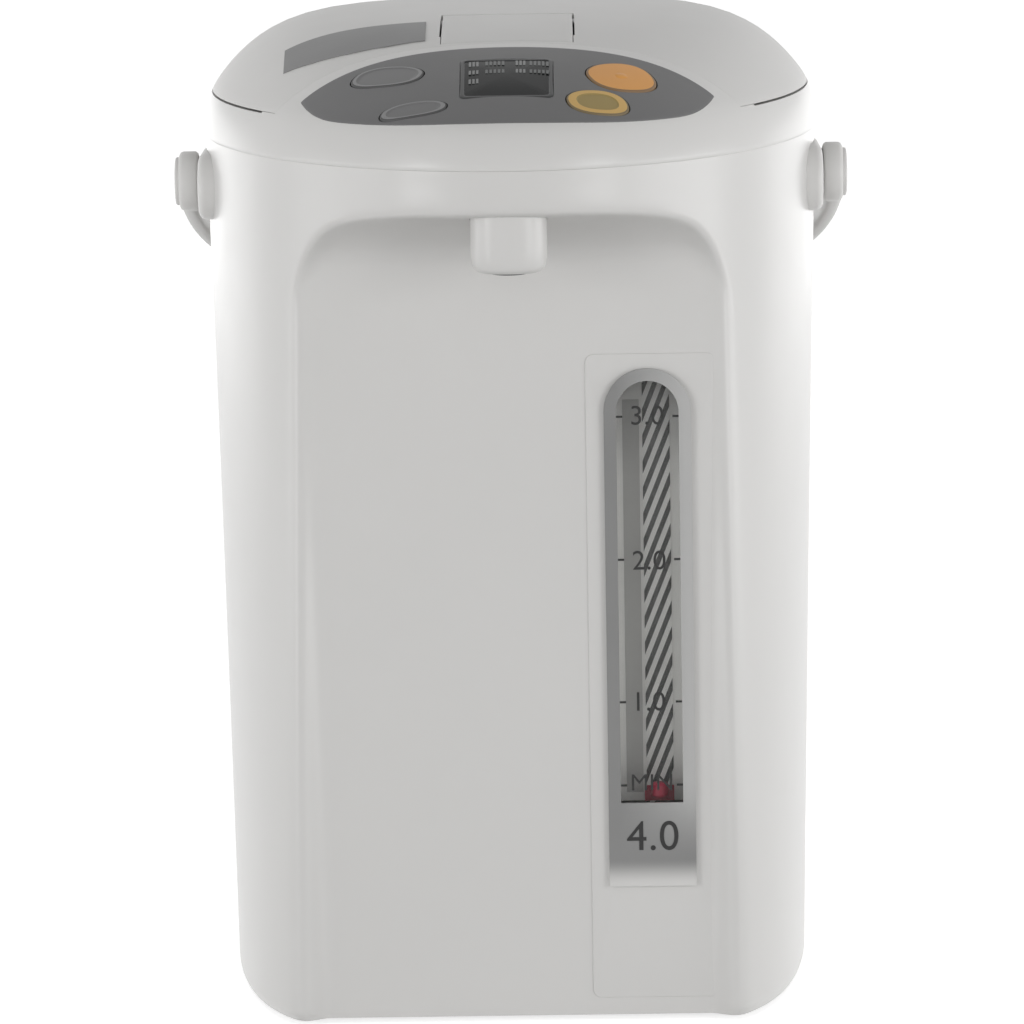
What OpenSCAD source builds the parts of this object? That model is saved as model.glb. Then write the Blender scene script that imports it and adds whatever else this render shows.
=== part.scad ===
// Electric thermo pot: a standing water boiler with a pump, a level gauge,
// a hinged lid, a bail handle and a swivel base.
// Frame: origin at the centre of the rest face on the swivel axis,
// X to the right, Y to the back, Z up. The spout faces -Y.

/* [Casing] */
// Width of the body at the seam under the top ring
body_w = 221.8; // [216:0.1:236]
// Width of the body at its foot
foot_w = 206; // [203:0.5:216]
// How far the widest section lies behind the swivel axis
plan_centre = 25; // [20:0.5:30]
// Reach of the nose in front of the swivel axis
nose_reach = 160; // [157:0.5:170]
// Reach of the back behind the swivel axis
back_reach = 130; // [128:0.5:136]
// Squareness of the outline at the foot
foot_power = 3.4; // [3:0.05:3.6]
// Squareness of the outline at the seam
seam_power = 2; // [1.95:0.05:2.2]
// Height of the seam between the body and the top ring
seam_z = 298; // [294:0.5:304]
// Thickness of the moulded casings
wall = 2.5; // [2:0.1:3]
// Gap between the table and the body
floor_gap = 2; // [1.8:0.1:3]

/* [Front] */
// Distance of the flat front from the swivel axis at the foot
front_foot = 130.5; // [128:0.5:132]
// Backward lean of the flat front in degrees
front_lean = 3.8; // [3.4:0.1:4]
// Half width of the flat front
flat_half_w = 75; // [72:0.5:77]
// Height of the lip over the flat front
lip_z = 284; // [282:0.5:286]
// Radius of the recess's upper corners
recess_r = 17; // [14:1:20]
// Height of the curve under the lip
cove_h = 24; // [18:1:26]

/* [Top ring and dome] */
// Height of the upright band of the top ring
band_h = 14.5; // [13:0.1:17]
// Rise of the dome above the band
dome_h = 29.5; // [27:0.5:34]
// How much the band draws in to the crease at the sides
crease_in_side = 3.3; // [2:0.1:4]
// How much the band draws in to the crease at the front
crease_in_front = 5; // [3:0.1:6]
// How far the top ring stands proud of the body
ring_proud = 1; // [0.5:0.1:1.5]
// Fullness of the dome towards its sides
side_power = 5.6; // [4.6:0.1:6.5]
// Fullness of the dome towards its front and back
end_power = 3.9; // [3.4:0.1:4.6]
// Distance of the lid's front edge behind the nose
lid_behind = 64.5; // [62:0.5:67]
// Width of the seam around the lid
lid_seam = 0.6; // [0.5:0.1:1]

/* [Control panel] */
// Distance of the panel's tips inside the crease at the sides
panel_inside = 38; // [34:0.5:44]
// Distance of the panel's straight back edge in front of the lid
panel_ahead = 5.5; // [4:0.1:7]
// Distance of the panel's front edge inside the crease at the nose
panel_rim = 2.1; // [1.5:0.1:4]
// Slope of the panel in degrees
panel_tilt = 24; // [20:0.5:28]
// Thickness of the panel
panel_t = 1.6; // [1.2:0.1:2]
// Width of the display
lcd_w = 31.5; // [28:0.5:34]
// Distance of the display's middle behind the nose
lcd_behind = 33.5; // [32:0.5:36]
// Length of the display down the slope, seen from above
lcd_d = 27; // [24:0.5:29]
// Travel of a button
button_travel = 0.8; // [0.5:0.1:1]

/* [Level gauge] */
// Offset of the gauge to the right
gauge_x = 46.3; // [44:0.1:50]
// Width of the gauge trim
trim_w = 30; // [27:0.5:31]
// Lower end of the gauge trim along the front
trim_low = 47; // [40:1:52]
// Upper end of the gauge trim along the front
trim_high = 226; // [218:1:228]
// Width of the gauge window
gauge_w = 21.4; // [19:0.2:23]
// Lower end of the gauge window
gauge_low = 76; // [72:1:80]
// Diameter of the level pipe
level_pipe_d = 9; // [7:0.5:10]

/* [Water path] */
// Inner radius of the water container
container_r = 79; // [76:0.5:80]
// Wall of the water container
container_t = 1; // [0.8:0.1:1.2]
// Height of the container's floor
container_floor = 62; // [60:0.5:66]
// Depth of the power inlet, which lies between the back and the container
inlet_depth = 18; // [16:0.5:22]
// Width of the spout cover
spout_w = 25.8; // [23:0.2:28]
// Height of the spout's lower end
spout_z = 262; // [258:0.5:266]
// Outer diameter of the nozzle
nozzle_d = 11; // [10:0.5:12]

/* [Handle] */
// Height of the handle's pivots
pivot_z = 280.5; // [278:0.5:282]
// Gap between a hub and the top ring's widest place
hub_gap = 0.7; // [0.5:0.1:3]
// Thickness of a hub
hub_t = 7; // [6:0.5:8]
// Diameter of a hub
hub_d = 21.5; // [19:0.5:23]
// Distance of the folded grip's middle line behind the back
bail_behind = 12.8; // [11:0.2:20]
// How far below the level the folded bail lies in degrees
bail_drop = 20; // [18:0.5:22]
// Diameter of a pivot pin
pivot_pin_d = 8; // [6:0.5:9]

/* [Swivel base] */
// Radius of the swivel base
swivel_r = 92; // [86:1:94]
// Thickness of the rubber pads
pad_t = 1.5; // [1:0.1:2]
// Thickness of the swivel base
swivel_t = 4.5; // [4:0.1:5]

/* [Fits] */
// Radial clearance of a turning pin
pin_fit = 0.05; // [0.03:0.01:0.08]
// Gap between faces that pass each other
face_gap = 0.3; // [0.3:0.05:0.4]
// Radial clearance of a fixed insert
insert_fit = 0.1; // [0.05:0.01:0.15]

/* [Hidden] */

$fn = 64;
ring_n = 96;                            // points round a casing outline
dome_n = 72;                            // points round the dome
crease_z = seam_z + band_h;
crease_half = body_w/2 + ring_proud - crease_in_side;
crease_front = nose_reach + plan_centre + ring_proud - crease_in_front - 0.5;
crease_back = back_reach - plan_centre + ring_proud - crease_in_side - 0.7;
lid_front = nose_reach - lid_behind;    // distances in front of the swivel axis
panel_half_w = crease_half - panel_inside;
panel_back = lid_front + panel_ahead;
lcd_y = nose_reach - lcd_behind;
inlet_face = back_reach - (body_w - foot_w)/2 + 0.2;
container_y = inlet_face - inlet_depth - 3.3 - container_r - 10;    // clear of the inlet
hub_in = body_w/2 + ring_proud + hub_gap;
bail_len = (back_reach + bail_behind)/cos(bail_drop);
hinge_y = back_reach - 10.5;
hinge_z = crease_z - 3.5;
lid_low = crease_z + face_gap;          // underside of the lid's rim
cover_low = floor_gap + face_gap;
swivel_top = pad_t + swivel_t;
pocket_top = swivel_top + face_gap;     // roof of the pocket over the swivel base
cover_top = pocket_top + wall;
mouth_r = container_r - 3;
flange_z = seam_z - 13;                 // where the container hangs by its flange
deck_z = seam_z + 2;
mouth_top = seam_z + 7;
gasket_low = mouth_top + face_gap;
plug_r = mouth_r - 4;
pivot_bore_r = 15;

// Colours, as the object shows them
white = [0.86, 0.86, 0.85];
panel_grey = [0.47, 0.47, 0.48];
trim_grey = [0.55, 0.55, 0.56];
steel = [0.72, 0.73, 0.74];
dark = [0.2, 0.2, 0.21];
brass = [0.8, 0.65, 0.35];
green = [0.15, 0.4, 0.25];

// ---------- outline functions ----------

function clamp(v, low, high) = min(max(v, low), high);
function smooth(v) = let (t = clamp(v, 0, 1)) t*t*(3 - 2*t);
function mix(a, b, t) = a + (b - a)*t;

// A point of an oval with its own depth in front of and behind its centre
function oval_point(t, half, front, back, power) = let (c = cos(t), s = sin(t))
    [half*sign(c)*pow(abs(c), 2/power),
     plan_centre + (s < 0 ? front : back)*sign(s)*pow(abs(s), 2/power)];

function body_half(z) = mix(foot_w, body_w, z/seam_z)/2;
function body_power(z) = seam_power + (foot_power - seam_power)*pow(max(1 - z/seam_z, 0), 1.5);
function body_back(z) = back_reach - plan_centre - (body_w/2 - body_half(z));
// Foot rounding: how far the outline draws in near the table
function foot_in(z) = let (v = 1 - clamp((z - floor_gap)/4, 0, 1)) 1.6*v*v;
function front_plane(z) = -(front_foot - z*tan(front_lean));

// Height of the lip at a distance x from the middle, with round corners
function lip_at(x) = let (over = abs(x) - (flat_half_w - recess_r))
    lip_z - (over > 0 ? recess_r - sqrt(max(recess_r*recess_r - over*over, 0)) : 0);

// How far forward the body may reach at x and z, as a negative y
function front_limit(x, z, inset) =
    let (top = lip_at(x) + inset,
         t = clamp((z - top + cove_h)/cove_h, 0, 1),
         plane = front_plane(z) + inset)
    z >= top ? -nose_reach - 5
             : mix(plane, -nose_reach + inset, 1 - sqrt(1 - t*t));

function body_point(t, z, inset) =
    let (draw = inset + (inset == 0 ? foot_in(z) : 0),
         p = oval_point(t, body_half(z) - draw, nose_reach + plan_centre - draw,
                        body_back(z) - draw, body_power(z)),
         flat = max(p.y, front_limit(p.x, z, inset)),
         fade = mix(16, 7, z/lip_z),    // width of the soft step beside the flat front
         w = smooth((flat_half_w + fade/2 - 1.5 - abs(p.x))/fade))
    [p.x, mix(p.y, flat, w), z];

// The band of the top ring: t 0 at the seam, 1 at the crease
function band_point(a, t, inset) =
    let (draw = inset + crease_in_side*(pow(t, 1.6) - 1),
         front = inset + crease_in_front*(pow(t, 1.6) - 1),
         p = oval_point(a, crease_half - draw, crease_front - front,
                        crease_back - draw, 2))
    [p.x, p.y, mix(seam_z, crease_z, t)];

// Height of the dome over a point of the plan
function dome_z(x, y) =
    let (v = (y - plan_centre)/(y < plan_centre ? crease_front : crease_back),
         r = max(norm([x/crease_half, v]), 0.001),
         power = mix(side_power, end_power, v*v/(r*r)))
    crease_z + dome_h*(1 - pow(min(r, 1), power));

// Half plan of the control panel: straight back edge, and a front edge that runs
// along the crease and turns in at the tips
function crease_y(x) = plan_centre - crease_front*sqrt(1 - pow(x/crease_half, 2));
function rim_at(u) = panel_rim - panel_rise*smooth(u/0.7);
panel_rise = 1.3;
panel_bow = 2.4;                        // how far the back edge bows back in its middle
tip_depth = -panel_back - panel_bow - crease_y(panel_half_w) - rim_at(1);
function panel_y(x, edge) = let (u = clamp(abs(x)/(panel_half_w + edge), 0, 1))
    crease_y(u*panel_half_w) + rim_at(u) + tip_depth*pow(u, 20) + edge*(2*pow(u, 20) - 1);
function panel_outline(edge) = let (half = panel_half_w + edge, n = 36)
    concat([for (i = [0:n]) let (x = -half*cos(180*i/n)) [x, panel_y(x, edge)]],
           [for (i = [1:n - 1]) let (x = half*cos(180*i/n))
               [x, -panel_back + edge + panel_bow*(sin(180*i/n) - 1)]]);

// ---------- solids from functions ----------

function wrap_faces(n, rows, start, outward) =
    [for (r = [0:rows - 2], k = [0:n - 1])
        let (a = start + r*n + k, b = start + r*n + (k + 1)%n, c = b + n, d = a + n)
        each outward ? [[a, d, c], [a, c, b]] : [[a, c, d], [a, b, c]]];
function rim_faces(n, outer, inner, upward) =
    [for (k = [0:n - 1])
        let (a = outer + k, b = outer + (k + 1)%n, c = inner + (k + 1)%n, d = inner + k)
        each upward ? [[a, d, c], [a, c, b]] : [[a, c, d], [a, b, c]]];

// A wall between two stacks of rings that run up from the same foot
module ring_wall(outer, inner) {
    n = len(outer[0]);
    rows = len(outer);
    start = n*rows;
    rows_in = len(inner);
    polyhedron(concat([for (r = outer) each r], [for (r = inner) each r]),
        concat(wrap_faces(n, rows, 0, true), wrap_faces(n, rows_in, start, false),
               rim_faces(n, start - n, start + n*(rows_in - 1), true),
               rim_faces(n, 0, start, false)));
}

// A solid of stacked rings with flat ends
module ring_solid(rings) {
    n = len(rings[0]);
    rows = len(rings);
    polyhedron([for (r = rings) each r],
        concat(wrap_faces(n, rows, 0, true), [[for (k = [0:n - 1]) k]],
               [[for (k = [n - 1:-1:0]) n*(rows - 1) + k]]));
}

// A sheet that follows the dome over a rectangle, from low to high above it
module dome_sheet(x0, x1, y0, y1, nx, ny, low, high) {
    m = (nx + 1)*(ny + 1);
    function at(i, j, off) = let (x = mix(x0, x1, i/nx), y = mix(y0, y1, j/ny))
        [x, y, dome_z(x, y) + off];
    top = [for (j = [0:ny], i = [0:nx]) at(i, j, high)];
    bottom = [for (j = [0:ny], i = [0:nx]) at(i, j, low)];
    edge = concat([for (i = [0:nx - 1]) i], [for (j = [0:ny - 1]) j*(nx + 1) + nx],
                  [for (i = [nx:-1:1]) ny*(nx + 1) + i],
                  [for (j = [ny:-1:1]) j*(nx + 1)]);
    k = len(edge);
    polyhedron(concat(top, bottom), concat(
        [for (j = [0:ny - 1], i = [0:nx - 1]) let (a = j*(nx + 1) + i, d = a + nx + 1)
            each [[a, d, d + 1], [a, d + 1, a + 1]]],
        [for (j = [0:ny - 1], i = [0:nx - 1]) let (a = m + j*(nx + 1) + i, d = a + nx + 1)
            each [[a, d + 1, d], [a, a + 1, d + 1]]],
        [for (e = [0:k - 1]) let (a = edge[e], b = edge[(e + 1)%k])
            each [[a, b, b + m], [a, b + m, a + m]]]));
}

// The dome as one closed solid over the crease, drawn in all over by inset
dome_rows = [1, 0.97, 0.93, 0.87, 0.79, 0.69, 0.55, 0.35, 0.03];
function dome_ring(s, inset) = [for (k = [0:dome_n - 1])
    let (p = oval_point(360*k/dome_n, crease_half*s, crease_front*s, crease_back*s, 2),
         fit = (crease_half - inset)/crease_half)
    [p.x*fit, plan_centre + (p.y - plan_centre)*fit,
     crease_z + (dome_z(p.x, p.y) - crease_z)*(dome_h - inset)/dome_h]];
module dome_solid(inset, low) {
    foot = dome_ring(1, inset);
    ring_solid(concat([[for (p = foot) [p.x, p.y, low]]],
                      [for (s = dome_rows) dome_ring(s, inset)]));
}
// A slab of all that lies between two distances from the front to the back
module between(y0, y1, low) {
    translate([-150, y0, low]) cube([300, y1 - y0, 200]);
}

// Moves to the sloping plane of the controls: x right, y up the slope, z out of it
module on_slope() {
    translate([0, -lcd_y, dome_z(0, -lcd_y)]) rotate([panel_tilt, 0, 0]) children();
}
// Moves to the leaning front: x right, y out of it, z up along it
module on_front() {
    translate([0, -front_foot, 0]) rotate([-front_lean, 0, 0]) children();
}
// The same place as a point: x right, y into the body, z up along the front
function front_at(x, y, z) = [x, -front_foot + y*cos(front_lean) + z*sin(front_lean),
                              z*cos(front_lean) - y*sin(front_lean)];
module tube(r_out, r_in, h) {
    difference() {
        cylinder(r = r_out, h = h);
        translate([0, 0, -1]) cylinder(r = r_in, h = h + 2);
    }
}
// A block with round upright edges, centred in x and y
module round_block(w, d, h, r) {
    linear_extrude(h) round_rect(w, d, r);
}
module round_rect(w, d, r) {
    square([w - 2*r, d], center = true);
    square([w, d - 2*r], center = true);
    for (x = [-1, 1], y = [-1, 1])
        translate([x*(w/2 - r), y*(d/2 - r)]) circle(r = r, $fn = 32);
}
// A straight round bar from point a to point b
module bar(a, b, r) {
    v = b - a;
    translate(a) rotate([0, acos(v.z/norm(v)), atan2(v.y, v.x)]) cylinder(r = r, h = norm(v));
}
// A bent bar through points, with round knees
module bent_bar(points, r) {
    for (i = [0:len(points) - 2]) bar(points[i], points[i + 1], r);
    for (i = [1:len(points) - 2]) translate(points[i]) sphere(r = r);
}

// ---------- swivel base ----------

module swivel_base() {
    color(dark) difference() {
        union() {
            translate([0, 0, pad_t]) cylinder(r = swivel_r, h = swivel_t);
            translate([0, 0, pad_t]) cylinder(r = pivot_bore_r - pin_fit, h = cover_top - pad_t + face_gap);
        }
        translate([0, 0, swivel_top - 2]) cylinder(r = pivot_bore_r - 4, h = cover_top + 10);
    }
}
pad_r = 9;
module foot_pads() {
    color(dark) {
        cylinder(r = pad_r, h = pad_t);
        for (a = [45:90:315]) rotate(a) translate([swivel_r - pad_r - 3, 0, 0]) cylinder(r = pad_r, h = pad_t);
    }
}
// Ring that holds the swivel base to the base cover
module swivel_clip() {
    color(steel) translate([0, 0, cover_top + face_gap]) tube(pivot_bore_r + 6, pivot_bore_r - 4, 1.5);
}

// ---------- lower casing ----------

cover_fit = insert_fit + 0.5;           // the front leans in over the cover's height
function cover_outline() = [for (k = [0:ring_n - 1])
    let (p = body_point(360*k/ring_n, floor_gap, wall + cover_fit)) [p.x, p.y]];
post_angles = [30, 150, 270];
post_r = 70;
module base_cover() {
    color(white) difference() {
        union() {
            translate([0, 0, cover_low]) linear_extrude(cover_top - cover_low) polygon(cover_outline());
            for (a = post_angles) translate([0, container_y, 0])
                rotate(a) translate([post_r, 0, cover_top - 1]) cylinder(r = 5, h = sleeve_low - cover_top + 1);
        }
        translate([0, 0, -1]) cylinder(r = swivel_r + 1, h = pocket_top + 1);
        cylinder(r = pivot_bore_r, h = cover_top + 1);
        for (a = post_angles) translate([0, container_y, 0])
            rotate(a) translate([post_r, 0, cover_top - 1]) cylinder(r = 1.6, h = 60);
    }
}
// Screws that hold the outer sleeve down on the posts
module base_screws() {
    color(steel) for (a = post_angles) translate([0, container_y, 0])
        rotate(a) translate([post_r, 0, 0]) {
            translate([0, 0, sleeve_low + sleeve_t]) cylinder(r = 3.2, h = 2);
            translate([0, 0, sleeve_low - 12]) cylinder(r = 1.5, h = 12 + sleeve_t);
        }
}

inlet_w = 38;
inlet_h = 26;
inlet_z = 44;
ear_fore = 20;
ear_aft = 6;
ear_r = 11.8;
ear_root = body_w/2 - 8.4;              // where the ears start inside the body
module ear_shape(grow) {
    for (y = [-ear_fore, ear_aft]) translate([y, 0]) circle(r = ear_r + grow);
    translate([-ear_fore, -ear_r - grow]) square([ear_fore + ear_aft, 2*(ear_r + grow)]);
}
// Extrudes the ear's side view from x0 to x1
module ear_prism(x0, x1, grow) {
    translate([x0, 0, pivot_z]) rotate([90, 0, 90]) linear_extrude(x1 - x0) ear_shape(grow);
}
body_rows = [floor_gap, floor_gap + 1.2, floor_gap + 4, 90, 180, 235, lip_z - cove_h,
    lip_z - 17, lip_z - 11, lip_z - 6, lip_z - 2.5, lip_z - 0.6, lip_z, seam_z];
body_rows_in = [floor_gap, floor_gap + 4, 120, 235, lip_z + wall - cove_h,
    lip_z + wall - 12, lip_z + wall - 5, lip_z + wall - 0.6, lip_z + wall, seam_z];
module body_shell() {
    color(white) difference() {
        ring_wall([for (z = body_rows) [for (k = [0:ring_n - 1]) body_point(360*k/ring_n, z, 0)]],
                  [for (z = body_rows_in) [for (k = [0:ring_n - 1]) body_point(360*k/ring_n, z, wall)]]);
        on_front() {
            translate([gauge_x, 0, 0]) gauge_slot(trim_w - 4, gauge_low - 4, trim_high - 2, -8, 8);
            translate([panel_side - panel_w/2, -plate_t, panel_low]) cube([panel_w, plate_t, panel_high - panel_low]);
        }
        translate([0, back_reach, inlet_z]) cube([inlet_w, 50, inlet_h] + [1, 0, 1]*2*insert_fit, center = true);
        ear_prism(ear_root - 6, hub_in + 7, insert_fit);
        ear_prism(-hub_in - 7, 6 - ear_root, insert_fit);
        translate([0, spout_y, spout_z])
            round_block(spout_w + 2*insert_fit, spout_d + 2*insert_fit, 40, 6 + insert_fit);
    }
}

// ---------- level gauge on the leaning front ----------

panel_low = floor_gap + 6;
panel_high = trim_high + 5;
panel_side = gauge_x + 1.2;             // middle of the gauge panel from the axis
panel_w = trim_w + 14.6;
plate_t = 1.2;
// An upright slot with a round top, cut from y0 to y1 of the front's frame
module gauge_slot(w, low, high, y0, y1) {
    translate([0, y1, 0]) rotate([90, 0, 0]) linear_extrude(y1 - y0) {
        translate([-w/2, low]) square([w, high - w/2 - low]);
        translate([0, high - w/2]) circle(r = w/2);
    }
}
module gauge_panel() {
    color(white) on_front() difference() {
        translate([panel_side, -plate_t, (panel_low + panel_high)/2]) rotate([90, 0, 0])
            translate([0, 0, -plate_t]) round_block(panel_w, panel_high - panel_low, plate_t, 3);
        translate([gauge_x, 0, 0]) gauge_slot(trim_w - 4, gauge_low - 4, trim_high - 2, -8, 8);
    }
}
module gauge_trim() {
    color(trim_grey) on_front() translate([gauge_x, 0, 0]) difference() {
        gauge_slot(trim_w, trim_low, trim_high, -plate_t - 1.4, -plate_t);
        gauge_slot(gauge_w, gauge_low, trim_high - (trim_w - gauge_w)/2, -8, 8);
    }
}
module gauge_window() {
    color([0.8, 0.85, 0.85, 0.4]) on_front() translate([gauge_x, 0, 0])
        gauge_slot(gauge_w - 2*insert_fit, gauge_low + insert_fit,
                   trim_high - (trim_w - gauge_w)/2 - insert_fit, -plate_t - 1, -plate_t);
}
scale_y = 18;                           // depth of the scale plate behind the front
module gauge_scale() {
    color([0.85, 0.86, 0.86]) on_front() translate([gauge_x, 0, 0]) {
        gauge_slot(trim_w + 2, gauge_low - 2, trim_high - 4, scale_y, scale_y + 1);
        // ribs that stand on the casing beside the opening
        for (x = [-1, 1]) translate([x*(trim_w/2 - 0.4) - 0.5, wall + 0.1, gauge_low + 10])
            cube([1, scale_y - wall - 0.1, trim_high - gauge_low - 40]);
    }
}
pipe_in = 11;                           // depth of the level pipe behind the front
pipe_x = gauge_x + 3;
pipe_low = gauge_low - 16;
pipe_high = trim_high + 19;
module level_pipe() {
    color([0.85, 0.9, 0.9, 0.5]) on_front() translate([pipe_x, pipe_in, pipe_low])
        tube(level_pipe_d/2, level_pipe_d/2 - 1.2, pipe_high - pipe_low);
}
// Valve that shuts the pipe if the pot tips over
valve_h = 16;
module tip_valve() {
    color(white) on_front() translate([pipe_x, pipe_in, pipe_high]) difference() {
        cylinder(r = level_pipe_d/2 + 3, h = valve_h);
        translate([0, 0, -1]) cylinder(r = level_pipe_d/2 - 1.2, h = valve_h + 2);
    }
}

// ---------- outlet and spout ----------

spout_y = -nose_reach + 17;
outlet_z = lip_z + wall + 7.5;
valve_top = front_at(pipe_x, pipe_in, pipe_high + valve_h);
// The riser's axis, which leans with the front
function riser_at(z) = [pipe_x, valve_top.y + (z - valve_top.z)*tan(front_lean), z];
module outlet_pipe() {
    color(white) difference() {
        union() {
            bar(valve_top, riser_at(outlet_z + 5), level_pipe_d/2 + 0.5);
            bar(riser_at(outlet_z), [0, spout_y, outlet_z], level_pipe_d/2);
            translate([0, spout_y, spout_z]) cylinder(r = nozzle_d/2, h = outlet_z - spout_z + 5);
        }
        translate([0, spout_y, spout_z - 1]) cylinder(r = 3.5, h = 12);
    }
}
spout_d = 25;
module spout_cover() {
    color(white) translate([0, spout_y, 0]) difference() {
        translate([0, 0, spout_z + 0.6]) union() {
            translate([0, 0, 5]) round_block(spout_w, spout_d, lip_z - spout_z - 5.6 + wall, 6);
            translate([0, 0, 2]) round_block(spout_w - 2.4, spout_d - 2.4, 3.1, 5);
            round_block(spout_w - 7, spout_d - 7, 2.1, 4);
        }
        translate([0, 0, spout_z - 1]) cylinder(r = nozzle_d/2 + insert_fit, h = 40);
        translate([0, 0, spout_z + 7]) round_block(spout_w - 4, spout_d - 4, 30, 4);
    }
}

// ---------- top ring and control panel ----------

knuckle_in = 34;
knuckle_out = 44;
knuckle_r = 3.4;
hinge_pin_r = 2;
band_steps = [0, 0.4, 0.75, 1];
function band_ring(t, inset) = [for (k = [0:ring_n - 1]) band_point(360*k/ring_n, t, inset)];
module lcd_hole(grow) {
    translate([0, -lcd_y, 250]) round_block(lcd_w + 2*grow, lcd_d + 2*grow, 120, 2);
}
// Plan of a button: x, y, half length, half depth and turn of its long axis
function key_x(share) = mix(lcd_w/2, panel_half_w, share);
dispense = [key_x(0.4148), 8 - lcd_y, 12.6, 9.2, 17];
unlock = [key_x(0.2726), -10.5 - lcd_y, 11.2, 7.2, 15];
reboil = [-key_x(0.4403), 12 - lcd_y, 12.6, 9.2, -24];
select = [-key_x(0.2872), -11.7 - lcd_y, 11.2, 6.2, -20];
keys = [dispense, unlock, reboil, select];
key_gap = face_gap + button_travel*sin(panel_tilt);
function ellipse_points(b, grow) = [for (t = [0:10:350])
    let (u = (b[2] + grow)*cos(t), v = (b[3] + grow)*sin(t))
    [b.x + u*cos(b[4]) - v*sin(b[4]), b.y + u*sin(b[4]) + v*cos(b[4])]];
module button_prism(b, grow, low = crease_z - 32) {
    translate([0, 0, low]) linear_extrude(dome_h + 50) polygon(ellipse_points(b, grow));
}
module top_ring() {
    color(white) {
        difference() {
            union() {
                ring_wall([for (t = band_steps) band_ring(t, 0)],
                          [for (t = band_steps) band_ring(t, wall)]);
                difference() {
                    deck();
                    translate([0, container_y, 0]) cylinder(r = mouth_out_r + insert_fit, h = 400);
                }
            }
            // room for the swinging back edge of the lid
            translate([-46, hinge_y - 7, deck_z - 0.5]) cube([92, 40, 40]);
            for (b = [unlock, select]) button_prism(b, key_gap, crease_z - 3);
        }
        for (s = [-1, 1]) knuckle(s);
    }
}
module deck() {
    translate([0, 0, deck_z]) linear_extrude(wall)
        polygon([for (p = band_ring(0.5, wall - 0.3)) [p.x, p.y]]);
}
module knuckle(side) {
    x0 = side > 0 ? knuckle_in : -knuckle_out;
    difference() {
        union() {
            translate([x0, hinge_y - knuckle_r, deck_z - 2])
                cube([knuckle_out - knuckle_in, 2*knuckle_r, hinge_z - deck_z + 2]);
            translate([x0, hinge_y, hinge_z]) rotate([0, 90, 0])
                cylinder(r = knuckle_r, h = knuckle_out - knuckle_in);
            translate([x0, hinge_y - 12, deck_z - 2]) cube([knuckle_out - knuckle_in, 12, 2.4]);
        }
        translate([x0 - 1, hinge_y, hinge_z]) rotate([0, 90, 0])
            cylinder(r = hinge_pin_r + 0.02, h = knuckle_out - knuckle_in + 2);
    }
}
latch_z = crease_z + 5;
latch_w = 20;
latch_h = 4;
// Fixed part of the dome in front of the lid, with its back wall
cover_back = -lid_front - lid_seam/2;
lug_y = cover_back - wall - 9;
module front_cover() {
    // lugs under the back edge of the control panel; its front edge rests on the top ring
    color(white) for (x = [-20, 12]) translate([x, lug_y, dome_z(20, lug_y) - panel_t - 2.2])
        cube([8, 9.5, 2]);
    color(white) difference() {
        intersection() {
            dome_solid(0, crease_z);
            between(-300, cover_back, 250);
        }
        intersection() {
            dome_solid(wall, crease_z - 1);
            between(-300, cover_back - wall, 250);
        }
        panel_prism(insert_fit, crease_z - 1);
        latch_slot(lid_face + 6);
    }
}
// Way for the latch, from the nose back to y
module latch_slot(y) {
    translate([-latch_w/2 - face_gap, 5 - nose_reach, latch_z - face_gap])
        cube([latch_w + 2*face_gap, y + nose_reach - 5, latch_h + 2*face_gap]);
}
module panel_prism(edge, low) {
    translate([0, 0, low]) linear_extrude(60) polygon(panel_outline(edge));
}
module control_panel() {
    color(panel_grey) difference() {
        intersection() {
            dome_solid(-0.25, crease_z);
            panel_prism(0, crease_z);
        }
        dome_solid(panel_t, crease_z - 1);
        lcd_hole(insert_fit);
        for (b = keys) button_prism(b, key_gap);
    }
}
module lcd_window() {
    color([0.2, 0.2, 0.22]) intersection() {
        dome_sheet(-lcd_w/2 - 2.25, lcd_w/2 + 2.25, -lcd_y - lcd_d/2 - 2, -lcd_y + lcd_d/2 + 3,
                   6, 6, -panel_t, 0.4);
        lcd_hole(0);
    }
}
board_drop = 14;                        // depth of the switch board under the panel
board_half = 46;
module lcd_module() {
    color(dark) on_slope() translate([0, 0, -board_drop]) round_block(lcd_w, lcd_d, board_drop - 4.2, 1);
}
module switch_board() {
    color(green) on_slope() translate([0, 0, -board_drop - 1.6]) linear_extrude(1.6)
        polygon([[-board_half + 10, -18], [board_half - 10, -18], [board_half, -8],
                 [board_half, 20], [-board_half, 20], [-board_half, -8]]);
    // posts that carry the board under the panel
    color(white) on_slope() for (b = [[-20, 15.5 - lcd_y], [20, 15.5 - lcd_y], [0, -14.9 - lcd_y]]) {
        p = slope_place(b);
        translate([p.x, p.y, -board_drop - 0.8]) cylinder(r = 1.6, h = board_drop + 0.3 + p.z - panel_t);
    }
}
// Places children at a button's foot on the board, with z along its travel
function slope_place(b) = let (z = dome_z(b.x, b.y), dy = b.y + lcd_y, dz = z - dome_z(0, -lcd_y))
    [b.x, dy*cos(panel_tilt) + dz*sin(panel_tilt), dz*cos(panel_tilt) - dy*sin(panel_tilt)];
switch_h = 3.5;
stem_r = 1.6;
module key_switches() {
    color(dark) on_slope() for (b = keys) {
        p = slope_place(b);
        translate([p.x, p.y, -board_drop]) difference() {
            round_block(7, 7, switch_h, 0.8);
            translate([0, 0, 1]) cylinder(r = stem_r + pin_fit, h = switch_h);
        }
    }
}
module button(b, col) {
    p = slope_place(b);
    color(col) {
        intersection() {
            dome_sheet(b.x - 15, b.x + 15, b.y - 14, b.y + 14, 7, 7, -2.2, 0.7);
            button_prism(b, 0);
        }
        on_slope() translate([p.x, p.y, -board_drop + 1 + button_travel + face_gap])
            cylinder(r = stem_r, h = board_drop - 3 - button_travel + p.z);
    }
}
module dispense_button() button(dispense, [0.85, 0.62, 0.35]);
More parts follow.
